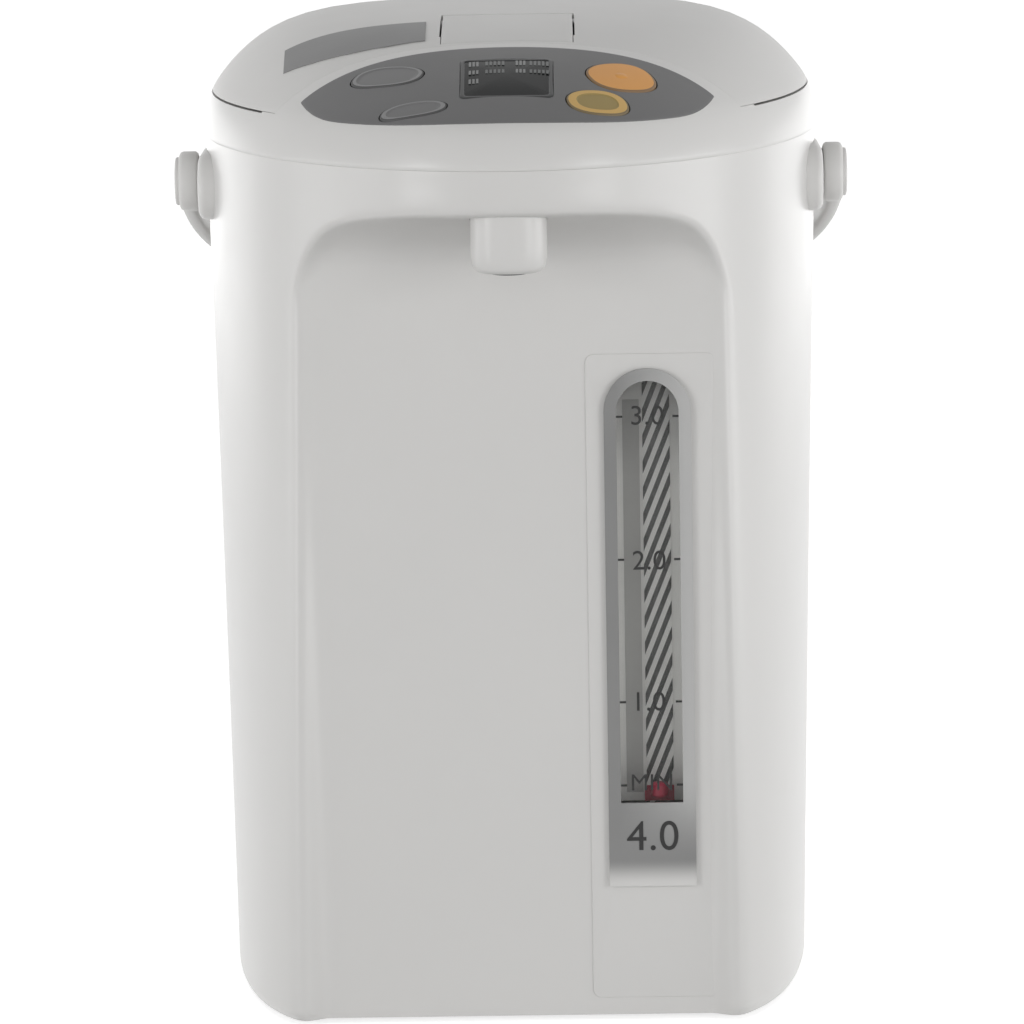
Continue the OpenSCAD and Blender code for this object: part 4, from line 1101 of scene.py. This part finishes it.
def ear_outline(grow, x, n=24):
    """Side view of an ear as a ring of points at x"""
    points = []
    for centre, start in ((EAR_AFT, -90), (-EAR_FORE, 90)):
        for i in range(n + 1):
            a = math.radians(start + 180 * i / n)
            points.append((x, centre + (EAR_R + grow) * math.cos(a),
                           PIVOT_Z + (EAR_R + grow) * math.sin(a)))
    return points


class THERMOPOT_OT_casing(bpy.types.Operator):
    """Builds the body casing with its leaning front and the curve under the nose"""

    bl_idname = "thermopot.casing"
    bl_label = "Body casing"

    def execute(self, context):
        form = Form(context.scene.thermo_pot_shape)
        turns = casing_turns()
        columns = [casing_column(form, t) for t in turns]
        outer = [[c[r] for c in columns] for r in range(len(columns[0]))]
        outer = soften(outer, recess_edge, 26)
        inner = []
        lip_in = form.lip_z + WALL
        for z in [FLOOR_GAP, 60, 150, 235, lip_in - form.cove_h]:
            inner.append([form.body_point(t, z, WALL) for t in turns])
        for i in range(1, 9):
            a = math.pi / 2 * i / 8
            z = lip_in - form.cove_h + form.cove_h * math.sin(a)
            inner.append([form.body_point(t, z, WALL, cove=a) for t in turns])
        inner.append([form.body_point(t, form.seam_z, WALL, cove=math.pi / 2) for t in turns])
        shell = wall_mesh("body_casing", outer, inner)

        ears = [stack_mesh("ear_hole", [ear_outline(0.1, a), ear_outline(0.1, b)])
                for a, b in ((EAR_ROOT - 6, 125), (-125, 6 - EAR_ROOT))]
        spout = prism("spout_hole", spout_outline(0.2), SPOUT_Z, SPOUT_Z + 34)
        inlet = block("inlet_hole", (-19.1, 105, INLET_Z - 13.1), (19.1, 155, INLET_Z + 13.1))
        boolean(shell, join([*ears, spout, gauge_hole(form), inlet], "holes"))
        seat(shell, "pot", "white_plastic", "casing", "body_shell", angle=40)
        return {"FINISHED"}


class THERMOPOT_OT_base(bpy.types.Operator):
    """Builds the swivel base that the pot stands and turns on, and its rubber pads"""

    bl_idname = "thermopot.base"
    bl_label = "Swivel base"

    def execute(self, context):
        base = ring_of("swivel_disc", [(86, 1.5), (90.6, 1.5), (91.6, 1.9), (92, 2.8), (92, 4.6),
                                       (91.5, 5.6), (90.6, 6.0), (14.95, 6.0), (14.95, 9.1)],
                       (11, 4, 12), 144)
        groove = turned("groove", [(70.8, 0.5), (70.8, 2.3), (70, 2.4), (60, 2.4)], 96)
        boolean(groove, turned("keep", [(67.5, 0), (67.5, 3)], 96))
        boolean(base, groove)
        seat(base, "stand", "dark_plastic", "dark", "swivel_base")

        pads = []
        for x, y in [(0, 0)] + [(PAD_X * a, PAD_X * b) for a in (-1, 1) for b in (-1, 1)]:
            pads.append(move(turned("pad", [(7.6, 0), (8.6, 0.25), (9, 0.8), (9, 1.5)], 48), x, y))
        seat(join(pads, "rubber_pads"), "stand", "pad_rubber", "rubber", "foot_pads")
        return {"FINISHED"}


# ---------------------------------------------------------------- top ring and lid


def latch_way(back):
    """The cutter for the latch's way, from the nose to a depth"""
    return block("latch_way", (-LATCH_HALF - LATCH_GAP, LATCH_FRONT, LATCH_Z - LATCH_GAP),
                 (LATCH_HALF + LATCH_GAP, back, LATCH_Z + LATCH_H + LATCH_GAP))


def knuckle(side):
    """A hinge knuckle of the top ring, with its web and its foot"""
    x0, x1 = (34, 44) if side > 0 else (-44, -34)
    barrel = turn(turned("barrel", [(2.9, x0), (3.4, x0 + 0.5), (3.4, x1 - 0.5), (2.9, x1)], 40),
                  90, "Y")
    move(barrel, 0, HINGE_Y, HINGE_Z)
    web = block("web", (x0, HINGE_Y - 3.4, DECK_Z - 2), (x1, HINGE_Y + 3.4, HINGE_Z))
    foot = block("foot", (x0, HINGE_Y - 12, DECK_Z - 2), (x1, HINGE_Y + 1, DECK_Z + 0.4))
    return boolean(boolean(web, barrel, "UNION"), foot, "UNION")


class THERMOPOT_OT_top(bpy.types.Operator):
    """Builds the top ring with the fixed front of the dome, the deck and the hinge knuckles"""

    bl_idname = "thermopot.top"
    bl_label = "Top ring"

    def execute(self, context):
        form = Form(context.scene.thermo_pot_shape)
        top = stack_mesh("top_casing", form.top_rings(0))
        boolean(top, behind(COVER_BACK, form.crease_z + 0.33))
        boolean(top, behind(SLIT_FRONT, form.crease_z - 0.25))
        hollow = stack_mesh("hollow", form.top_rings(WALL))
        boolean(hollow, block("back_wall", (-160, COVER_BACK - WALL, DECK_Z + WALL),
                              (160, COVER_BACK, 400)))
        boolean(hollow, block("deck", (-160, -200, DECK_Z), (160, 200, DECK_Z + WALL)))
        boolean(top, hollow)
        boolean(top, prism("mouth", circle(MOUTH_OUT, 128, 0, MOUTH_Y), DECK_Z - 1, DECK_Z + 4))
        boolean(top, block("hinge_room", (-46, HINGE_Y - 7, DECK_Z - 0.5), (46, 160, 345)))
        boolean(top, knuckle(-1), "UNION")
        boolean(top, knuckle(1), "UNION")
        boolean(top, prism("panel_hole", form.panel_outline(0.12), form.crease_z - 1, 400))
        boolean(top, latch_way(-89))
        seat(top, "pot", "white_plastic", "casing", "top_ring", "front_cover", angle=30)
        return {"FINISHED"}


class THERMOPOT_OT_lid(bpy.types.Operator):
    """Builds the lid's outside, its steam vent, the plain label strip and the opening lever"""

    bl_idname = "thermopot.lid"
    bl_label = "Lid"

    def execute(self, context):
        form = Form(context.scene.thermo_pot_shape)
        rim = form.crease_z + 0.45
        lid = stack_mesh("lid_shell", form.top_rings(0))
        boolean(lid, behind(LID_FACE, rim), "INTERSECT")
        hollow = stack_mesh("hollow", form.top_rings(WALL))
        boolean(hollow, behind(LID_FACE + 2, rim - 2), "INTERSECT")
        boolean(lid, hollow)
        lever_z = form.top_z(0, LEVER_Y) - 3.2
        for gap, front in ((0.12, LEVER_FRONT - 0.12), (0.6, LEVER_FRONT + 10)):
            boolean(lid, block("lever_room", (-LEVER_HALF - gap, front, lever_z - 8),
                               (LEVER_HALF + gap, LEVER_Y + 2.7, 400)))
        boolean(lid, latch_way(-50))
        boolean(lid, prism("vent_hole", circle(VENT_R + 0.25, 72, 0, VENT_Y), 320, 400))
        seat(lid, "lid", "white_plastic", "lid", "lid_cover", angle=30)

        vent = plate("steam_vent_cap", lambda s: circle(VENT_R * s, 72, 0, VENT_Y),
                     [(1, -4.6), (1, -0.1), (0.985, 0.2), (0.95, 0.36)]
                     + level(0.4, 0.9, 0.8, 0.6, 0.4, 0.2))
        boolean(vent, row_of_blocks("vent_slots", 4, (4, 0, 0), (1.5, 14, 12), (-6, VENT_Y, 3.2)))
        drape(vent, form, -0.35)
        neck = prism("neck", circle(VENT_R - 3, 48, 0, VENT_Y), rim + 2.4,
                     form.top_z(0, VENT_Y) - 4)
        seat(join([vent, neck], "steam_vent_cap"), "lid", "white_plastic", "lid", "steam_vent")

        seat(drape(label_strip(), form), "lid", "label_grey", "label", "lid_label")

        lever = lever_plate(((0, -2.4), (0, -0.55), (-0.12, -0.25), (-0.35, -0.06), (-0.7, 0)))
        drape(lever, form)
        barrel = turn(turned("barrel", [(3.0, -LEVER_HALF), (3.2, -LEVER_HALF + 0.3),
                                        (3.2, LEVER_HALF - 0.3), (3.0, LEVER_HALF)], 48), 90, "Y")
        move(barrel, 0, LEVER_Y, lever_z)
        rib = block("rib", (-1.5, LEVER_Y - 12, lever_z - 9), (1.5, LEVER_Y, lever_z))
        bore = turn(turned("bore", [(1.45, -60), (1.45, 60)], 24), 90, "Y")
        move(bore, 0, LEVER_Y, lever_z)
        boolean(lever, boolean(barrel, rib, "UNION"), "UNION")
        boolean(lever, bore)
        seat(lever, "lever", "white_plastic", "lid", "open_lever")
        return {"FINISHED"}


def label_strip():
    """A plain strip on the left of the lid, built flat"""
    front = [(-77.9, -73.0), (-67, -80.0), (-55.2, -85.0), (-42, -87.5), (-28.2, -87.0)]
    back = [(-78.3, -50.0), (-66, -52.0), (-55, -53.5), (-42, -54.6), (-28.4, -55.0)]

    def along(points, u):
        k = min(int(u * (len(points) - 1)), len(points) - 2)
        t = u * (len(points) - 1) - k
        return [mix(points[k][i], points[k + 1][i], t) for i in (0, 1)]

    nx, ny = 40, 14
    low, high = 0.05, 0.32
    verts = []
    for z in (low, high):
        for j in range(ny + 1):
            for i in range(nx + 1):
                a, b = along(front, i / nx), along(back, i / nx)
                verts.append((mix(a[0], b[0], j / ny), mix(a[1], b[1], j / ny), z))
    m = (nx + 1) * (ny + 1)
    faces = []
    for j in range(ny):
        for i in range(nx):
            a = j * (nx + 1) + i
            faces.append((m + a, m + a + 1, m + a + nx + 2, m + a + nx + 1))
            faces.append((a + nx + 1, a + nx + 2, a + 1, a))
    edge = list(range(nx)) + [j * (nx + 1) + nx for j in range(ny)]
    edge += [ny * (nx + 1) + i for i in range(nx, 0, -1)] + [j * (nx + 1) for j in range(ny, 0, -1)]
    for e, a in enumerate(edge):
        b = edge[(e + 1) % len(edge)]
        faces.append((a, b, b + m, a + m))
    return put_mesh("lid_strip", verts, faces)


def lever_plate(edges):
    """The opening lever's plate, built flat, with edges from (growth, height) pairs"""
    xs = [-LEVER_HALF + 2 * LEVER_HALF * i / 24 for i in range(25)]
    ys = [mix(LEVER_FRONT, LEVER_Y + 1.5, j / 26) for j in range(27)]
    centre = (0.0, (ys[0] + ys[-1]) / 2)

    def border(grow):
        fx = (LEVER_HALF + grow) / LEVER_HALF
        fy = ((ys[-1] - ys[0]) / 2 + grow) / ((ys[-1] - ys[0]) / 2)
        line = [(x, ys[0]) for x in xs[:-1]] + [(xs[-1], y) for y in ys[:-1]]
        line += [(x, ys[-1]) for x in xs[:0:-1]] + [(xs[0], y) for y in ys[:0:-1]]
        return [(x * fx, mix(centre[1], y, fy)) for x, y in line]

    low = [at_height(toward(border(0), centre, s), edges[0][1]) for s in (0.08, 0.3, 0.55, 0.8)]
    rings = [at_height(border(grow), z) for grow, z in edges]
    grow, z = edges[-1]
    top = [at_height(toward(border(grow), centre, s), z)
           for s in (0.9, 0.78, 0.64, 0.5, 0.36, 0.22, 0.08)]
    return stack_mesh("opening_lever", low + rings + top)


# ---------------------------------------------------------------- control panel


class THERMOPOT_OT_panel(bpy.types.Operator):
    """Builds the control panel, its display and the four keys"""

    bl_idname = "thermopot.panel"
    bl_label = "Control panel"

    def execute(self, context):
        form = Form(context.scene.thermo_pot_shape)
        centre = (0, -128)
        outline = form.panel_outline(0)
        panel = plate("control_panel_face", lambda s: toward(outline, centre, s),
                      level(-1.6, 0.1, 0.5, 0.8, 1) + [(1, 0.0), (0.998, 0.16), (0.994, 0.24)]
                      + level(0.27, 0.985, 0.95, 0.9, 0.84, 0.77, 0.69, 0.6, 0.5, 0.39, 0.27,
                              0.14))
        for key in (DISPENSE, UNLOCK, REBOIL, SELECT):
            boolean(panel, prism("key_hole", key_outline(key, KEY_GAP), -9, 9))
        boolean(panel, prism("display_hole", round_outline(LCD_W + 0.2, LCD_D + 0.2, 2.1,
                                                           cy=LCD_Y), -9, 9))
        seat(drape(panel, form), "pot", "panel_grey", "panel", "control_panel")

        make_display(form)
        # the grey keys' finishes: a painted gap shadow on the rim, a painted highlight on the band
        # inside it, and their own grey
        grey = ("key_painted_gap_shadow", "key_painted_highlight", "key_grey")
        # the dispense and unlock keys' rims take a painted gap shadow
        make_key(form, "dispense_key_cap", DISPENSE, "dispense_key", "orange_key",
                 ("orange_painted_gap_shadow", "orange", "orange"), (0.93, 0.2), 0.35, "dispense_button")
        # the unlock key's inner field takes painted shade for its hollow
        make_key(form, "unlock_key_cap", UNLOCK, "unlock_key", "gold_key",
                 ("gold_painted_gap_shadow", "gold", "gold_painted_hollow_shade"), (0.94, 0.66), -0.35, "unlock_button")
        make_key(form, "reboil_key_cap", REBOIL, "reboil_key", "panel_grey", grey,
                 (0.95, 0.84), -0.3, "reboil_button")
        make_key(form, "select_key_cap", SELECT, "select_key", "panel_grey", grey,
                 (0.95, 0.80), -0.3, "select_button")
        return {"FINISHED"}


def make_display(form):
    """The display's window with its frame, and the small plain bars on it"""
    def outline(s):
        return toward(round_outline(LCD_W, LCD_D, 2.0, 10, cy=LCD_Y), (0, LCD_Y), s)

    glass = plate("display_window", outline, level(-1.6, 0.5, 1)
                  + [(1, 0.3), (0.99, 0.5), (0.975, 0.56), (0.93, 0.56), (0.915, 0.45)]
                  + level(0.3, 0.905, 0.8, 0.65, 0.5, 0.35, 0.2, 0.05))
    inner_w, inner_d = LCD_W / 2 * 0.91, LCD_D / 2 * 0.91
    paint(glass, 1, lambda x, y, z: abs(x) < inner_w and abs(y - LCD_Y) < inner_d and z > 0)
    seat(drape(glass, form), "pot", "display", ("display_frame", "display"), "lcd_window")

    left, back = -LCD_W / 2, LCD_Y + LCD_D / 2
    rows = (("icons", "display_icon", 3, 3.8,
             ((4.6, 4.0, 3.6), (4.6, 10.4, 2.6), (20.5, 4.0, 3.6), (20.5, 10.4, 2.6),
              (4.6, 16.8, 2.8))),
            ("bars", "display_mark", 5, 7.0,
             ((11.8, 4.0, 3.2), (11.8, 10.4, 2.6), (26.8, 4.0, 3.4), (26.8, 10.4, 2.4))))
    for name, finish, count, width, places in rows:
        step = width / count
        marks = [row_of_blocks(name, count, (step, 0, 0), (step * 0.62, deep, 0.12),
                               (left + x - width / 2 + step / 2, back - y, 0.36))
                 for x, y, deep in places]
        seat(drape(join(marks, "display_" + name), form), "pot", "display", finish)


def make_key(form, name, key, body, slot, finishes, bands, crown, node):
    """A key cap with a rim, a face and an inner field, and the stem under it; the rim's finish is a
    painted shadow of the gap round the key
    """
    centre = (key[0], key[1])
    rim, field = bands

    def outline(s):
        return toward(key_outline(key), centre, s)

    top = 0.62
    steps = [(0.4, -2.2), (1, -2.2), (1, 0.25), (0.992, 0.46), (0.975, 0.58), (rim, top)]
    steps += [(rim - 0.01, top), (mix(rim, field, 0.5), top), (field + 0.02, top)]
    inner = [(field - 0.02, top + (crown if crown < 0 else 0))]
    for s in (0.85, 0.65, 0.45, 0.25, 0.08):
        rise = crown * (1 - s * s) if crown > 0 else crown * (1 - 0.25 * (1 - s))
        inner.append((s * field, top + rise))
    cap_mesh = plate(name, outline, steps + inner)

    def share(x, y):
        c, s = math.cos(math.radians(key[4])), math.sin(math.radians(key[4]))
        u, v = (x - centre[0]) * c + (y - centre[1]) * s, (y - centre[1]) * c - (x - centre[0]) * s
        return (abs(u / key[2]) ** KEY_POWER + abs(v / key[3]) ** KEY_POWER) ** (1 / KEY_POWER)

    # The cap's edge and sides keep the first finish, a painted shadow of the gap round the key;
    # inside the rim they take the second, on the grey keys a painted highlight
    paint(cap_mesh, 1, lambda x, y, z: share(x, y) < rim and z > 0)
    paint(cap_mesh, 2, lambda x, y, z: share(x, y) < field and z > 0)
    drape(cap_mesh, form)
    stem = turned("stem", [(1.6, -11.5), (1.6, -1.9)], 24)
    transform(stem, Matrix.Rotation(STEM_LEAN, 4, "X"))
    move(stem, key[0], key[1], form.top_z(*centre))
    seat(join([cap_mesh, stem], name), body, slot, finishes, node)


# ---------------------------------------------------------------- level gauge


def gauge_hole(form):
    """The cutter for the room behind the gauge's trim"""
    outline = slot_outline(form.trim_w - 4, WINDOW_LOW - 4, TRIM_HIGH - 2)
    return upright_prism("gauge_hole", outline, -8, 8, form.gauge_x)


class THERMOPOT_OT_gauge(bpy.types.Operator):
    """Builds the level gauge: its panel, trim, window, scale, pipe, figures and stripes"""

    bl_idname = "thermopot.gauge"
    bl_label = "Level gauge"

    def execute(self, context):
        shape = context.scene.thermo_pot_shape
        form = Form(shape)
        gx = form.gauge_x
        side, width = gx + 1.2, form.trim_w + 14.6

        low, high = FLOOR_GAP + 6, TRIM_HIGH + 5
        outline = round_outline(width, high - low, 3, cy=(low + high) / 2)
        panel = upright_prism("gauge_plate", outline, -PLATE_PROUD, 0, side)
        boolean(panel, gauge_hole(form))
        round_edges(panel, 0.5, 4, 60)
        seat(panel, "pot", "white_plastic", "casing", "gauge_panel")

        trim = upright_prism("gauge_frame", slot_outline(form.trim_w, TRIM_LOW, TRIM_HIGH, 48),
                             TRIM_FACE, -PLATE_PROUD, gx)
        boolean(trim, upright_prism("hole", slot_outline(form.gauge_w, WINDOW_LOW, WINDOW_HIGH,
                                                         48), -8, 8, gx))
        round_edges(trim, 1.25, 6, 50)
        seat(trim, "pot", "trim_grey", "trim", "gauge_trim", angle=60)

        window = upright_prism("gauge_glass", slot_outline(form.gauge_w - 0.2, WINDOW_LOW + 0.1,
                                                           WINDOW_HIGH - 0.1, 48),
                               WINDOW_FACE, -PLATE_PROUD, gx)
        round_edges(window, 0.2, 2, 60)
        seat(window, "pot", "clear_plastic", "window", "gauge_window")

        face = 18.0
        scale = upright_prism("scale_plate", slot_outline(form.trim_w + 2, WINDOW_LOW - 2,
                                                          TRIM_HIGH - 4), face, face + 1, gx)
        ribs = [upright_prism("rib", box_outline(x - 0.5, 86, x + 0.5, 196), 2.7, face + 0.2, gx)
                for x in (-14.6, 14.6)]
        seat(join([scale, *ribs], "scale_plate"), "pot", "scale_plate", "scale", "gauge_scale")
        # A painted shadow: a darker strip on the scale, left of the stripes, where shade falls
        # beside the level pipe
        band = upright_prism("scale_shade", box_outline(-8.4, 77, -2.6, 214), face - 0.15,
                             face - 0.02, gx)
        seat(band, "pot", "scale_plate", "scale_dark")

        make_level_tube()
        make_figures(gx)
        make_stripes(gx, shape.stripe_count)
        return {"FINISHED"}


def make_level_tube():
    """The clear tube, shown filled, so that few clear faces lie over the stripes"""
    (x0, y0, z0), (x1, y1, z1) = ([v / MM for v in corner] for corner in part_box("level_pipe"))
    radius = min(x1 - x0, y1 - y0) / 2
    tube = turned("level_tube", [(radius, z0), (radius, z1)], 48)
    move(tube, (x0 + x1) / 2, (y0 + y1) / 2)
    seat(tube, "pot", "clear_plastic", "pipe", "level_pipe")


def make_figures(gx):
    """The figures and ticks of the scale, raised on the window and the trim"""
    marks = [lettering(body, high, (0, WINDOW_FACE, z))
             for body, z, high in (("3.0", 209.9, 6.6), ("2.0", 160.0, 6.6), ("1.0", 111.2, 6.6),
                                   ("MIN", 83.1, 5.7))]
    marks.append(lettering("4.0", 10.2, (0, TRIM_FACE, 64.6)))
    for x in (-9.9, 9.9):
        for count, z in ((3, LITRE_LOW), (1, MIN_TICK)):
            marks.append(row_of_blocks("ticks", count, (0, 0, LITRE_RISE), (2.7, 0.24, 0.75),
                                       (x, WINDOW_FACE, z)))
    seat(on_front(move(join(marks, "gauge_figures"), gx)), "pot", "dark_plastic", "ink")


def make_stripes(gx, count):
    """The slanted stripes behind the level pipe, the red float in it and a red mark behind"""
    wide, pitch, slope = 9.4, 9.0, math.tan(math.radians(68))
    low, high, depth = 62.0, 221.0, 17.7
    for name, up, finish in (("stripes_dark", 0, "stripe"),
                             ("stripes_light", pitch / 2, "stripe_light")):
        rows = row_of_blocks(name, count, (0, 0, pitch), (wide, 0.3, pitch / 2), (0, 0, 76),
                             slope, MATERIALS[finish])
        move(rows, gx + 3.2, depth, up)
        boolean(rows, block("keep", (gx - 10, 0, low), (gx + 16, 40, high)), "INTERSECT")
        seat(on_front(rows), "pot", "scale_plate", finish)
    float_body = turned("level_float", [(2.2, 76), (3.05, 77), (3.05, 80.4), (2.2, 81.4)], 32)
    move(float_body, gx + 3, 11)
    mark = block("mark", (gx - 2.2, 17.2, 74), (gx + 8, 17.5, 79.4))
    seat(on_front(join([float_body, mark], "level_float")), "pot", "scale_plate", "float")


# ---------------------------------------------------------------- spout, handle and inlet


class THERMOPOT_OT_spout(bpy.types.Operator):
    """Builds the spout cover under the nose, and the dark ring round the nozzle in it"""

    bl_idname = "thermopot.spout"
    bl_label = "Spout"

    def execute(self, context):
        low = SPOUT_Z + 0.6
        edge = ((-4.2, 0), (-2.8, 0.2), (-1.8, 0.7), (-1.0, 1.6), (-0.4, 3.0), (-0.1, 5.0), (0, 8),
                (0, 24))
        cover = stack_mesh("spout_hood", [at_height(spout_outline(grow), low + up)
                                          for grow, up in edge])
        boolean(cover, move(turned("bore", [(5.6, 0), (5.6, 12)], 48), 0, SPOUT_Y, low - 2))
        boolean(cover, prism("inside", spout_outline(-2), low + 6.5, low + 30))
        seat(cover, "pot", "white_plastic", "casing", "spout_cover", angle=45)
        tip = ring_of("nozzle_ring", [(6.0, SPOUT_Z), (6.2, SPOUT_Z + 0.15), (6.2, low - 0.03)],
                      (5.56, SPOUT_Z - 1, SPOUT_Z + 4))
        seat(move(tip, 0, SPOUT_Y), "pot", "dark_plastic", "dark")
        return {"FINISHED"}


def spout_outline(grow):
    """Plan of the spout's cover, rounder than a box"""
    return [(x, SPOUT_Y + y) for x, y in
            superellipse(SPOUT_W / 2 + grow, SPOUT_D / 2 + grow, SPOUT_POWER, 96)]


def bail_ring(t, n=28):
    """One section of the bail, in its own plane before it is turned down"""
    def line(a):
        c, s = math.cos(a), math.sin(a)
        return Vector((BAIL_MID * signed_power(c, 2 / 3), BAIL_LEN * abs(s) ** (2 / 3)))

    p, d = line(t), (line(t + 0.008) - line(t - 0.008)).normalized()
    normal = Vector((-d.y, d.x))
    grip = smooth((70 - abs(p.x)) / 30)
    arm = smooth((BAIL_MID + 2 - abs(p.x)) / 30)
    half, tall = mix(5.4, 12, grip) / 2, mix(mix(9.5, 15, arm), 19, grip) / 2
    ring = []
    for k in range(n):
        a = 2 * math.pi * (k + 0.5) / n
        u, v = half * signed_power(math.cos(a), 0.7), tall * signed_power(math.sin(a), 0.7)
        ring.append((p.x + normal.x * u, p.y + normal.y * u, v))
    return ring


class THERMOPOT_OT_handle(bpy.types.Operator):
    """Builds the ears on the body, the bail handle, its hub caps and, beside them, dark discs that
    are painted shade in the gaps between ears and hubs
    """

    bl_idname = "thermopot.handle"
    bl_label = "Bail handle"

    def execute(self, context):
        face = HUB_IN - 1.1
        for side, node in ((1, "right_ear"), (-1, "left_ear")):
            rows = [(EAR_ROOT, 0), (face - 2.4, 0), (face - 1.7, -0.12), (face - 1.0, -0.5),
                    (face - 0.4, -1.15), (face, -2.3)]
            if side < 0:
                rows = [(-x, grow) for x, grow in rows[::-1]]
            ear = stack_mesh(node + "_block", [ear_outline(grow, x) for x, grow in rows])
            seat(ear, "pot", "white_plastic", "handle", node, angle=40)

        degrees = [0.5, 1.5, 3] + list(range(5, 176, 2)) + [177, 178.5, 179.5]
        bail = stack_mesh("bail", [bail_ring(math.radians(a)) for a in degrees])
        outer = HUB_IN + HUB_T
        for side in (-1, 1):
            profile = [(HUB_R - 1.6, HUB_IN), (HUB_R - 0.7, HUB_IN + 0.25), (HUB_R, HUB_IN + 1.1),
                       (HUB_R, outer - 1.5), (HUB_R - 0.4, outer - 0.5), (HUB_R - 1.2, outer)]
            boolean(bail, across(turned("hub", profile, 72), side), "UNION")
            well = turned("well", [(HUB_R - 1.9, outer), (HUB_R - 1.9, outer + 6)], 64)
            boolean(bail, across(well, side))
            bore = turned("bore", [(4.06, HUB_IN - 6), (4.06, outer + 1)], 48)
            boolean(bail, across(bore, side))
        turn(bail, -math.degrees(BAIL_DROP), "X")
        move(bail, 0, 0, PIVOT_Z)
        seat(bail, "bail", "white_plastic", "handle", "handle", angle=40)

        caps, discs_of_painted_gap_shade = [], []
        for side in (-1, 1):
            lid = turned("hub_cap", [(HUB_R - 2.05, outer), (HUB_R - 2.05, outer + 1.0),
                                     (HUB_R - 2.4, outer + 1.4), (HUB_R - 3.2, outer + 1.6),
                                     (HUB_R - 6, outer + 1.6)], 64)
            caps.append(move(across(lid, side), 0, 0, PIVOT_Z))
            # a dark disc in the gap between ear and hub: painted shade for that gap
            painted_gap_shade_disc = ring_of("painted_gap_shade_disc", [(8.6, face + 0.25), (8.6, face + 0.75)],
                             (4.2, face - 1, face + 2))
            discs_of_painted_gap_shade.append(move(across(painted_gap_shade_disc, side), 0, 0, PIVOT_Z))
        seat(join(caps, "hub_cap_pair"), "bail", "white_plastic", "handle", "hub_caps")
        seat(join(discs_of_painted_gap_shade, "hub_gap_painted_shade"), "pot", "dark_plastic", "dark")
        return {"FINISHED"}


class THERMOPOT_OT_inlet(bpy.types.Operator):
    """Builds the power inlet low on the back, and the magnets in it"""

    bl_idname = "thermopot.inlet"
    bl_label = "Power inlet"

    def execute(self, context):
        def facing_back(name, outline, *depths):
            return stack_mesh(name, [[(x, INLET_FACE + y, INLET_Z + z) for x, z in outline]
                                     for y in depths])

        body = facing_back("inlet_socket", round_outline(38, 26, 2.5), 0, -18)
        boolean(body, facing_back("recess", round_outline(30, 18, 3.5), 2, -8))
        round_edges(body, 0.5, 3, 60)
        magnets = [facing_back("magnet", round_outline(4, 11, 0.6, cx=x), -6.9, -8.2)
                   for x in (-12.4, 12.4)]
        seat(body, "pot", "dark_plastic", "dark", "power_inlet")
        seat(join(magnets, "inlet_magnets"), "pot", "steel_fastener", "fastener")
        return {"FINISHED"}


# ---------------------------------------------------------------- panel and registration


class THERMOPOT_PT_sidebar(bpy.types.Panel):
    """Lists the steps that build the pot, and its settings"""

    bl_label = "Thermo Pot"
    bl_idname = "THERMOPOT_PT_sidebar"
    bl_space_type = "VIEW_3D"
    bl_region_type = "UI"
    bl_category = "Thermo Pot"

    def draw(self, context):
        for step in STEPS:
            self.layout.operator(step.bl_idname)
        for group in (context.scene.thermo_pot_shape, context.scene.thermo_pot_finish):
            box = self.layout.box()
            for key in group.bl_rna.properties.keys():
                if key not in {"rna_type", "name"}:
                    box.prop(group, key)


STEPS = (
    THERMOPOT_OT_stage,
    THERMOPOT_OT_finishes,
    THERMOPOT_OT_base,
    THERMOPOT_OT_casing,
    THERMOPOT_OT_top,
    THERMOPOT_OT_lid,
    THERMOPOT_OT_panel,
    THERMOPOT_OT_gauge,
    THERMOPOT_OT_spout,
    THERMOPOT_OT_handle,
    THERMOPOT_OT_inlet,
)
CLASSES = (ThermoPotShape, ThermoPotFinish, *STEPS, THERMOPOT_PT_sidebar)


def register():
    for cls in CLASSES:
        bpy.utils.register_class(cls)
    bpy.types.Scene.thermo_pot_shape = PointerProperty(type=ThermoPotShape)
    bpy.types.Scene.thermo_pot_finish = PointerProperty(type=ThermoPotFinish)


def unregister():
    del bpy.types.Scene.thermo_pot_finish
    del bpy.types.Scene.thermo_pot_shape
    for cls in reversed(CLASSES):
        bpy.utils.unregister_class(cls)


def main():
    register()
    for step in STEPS:
        group, name = step.bl_idname.split(".")
        getattr(getattr(bpy.ops, group), name)()


if __name__ == "__main__":
    main()
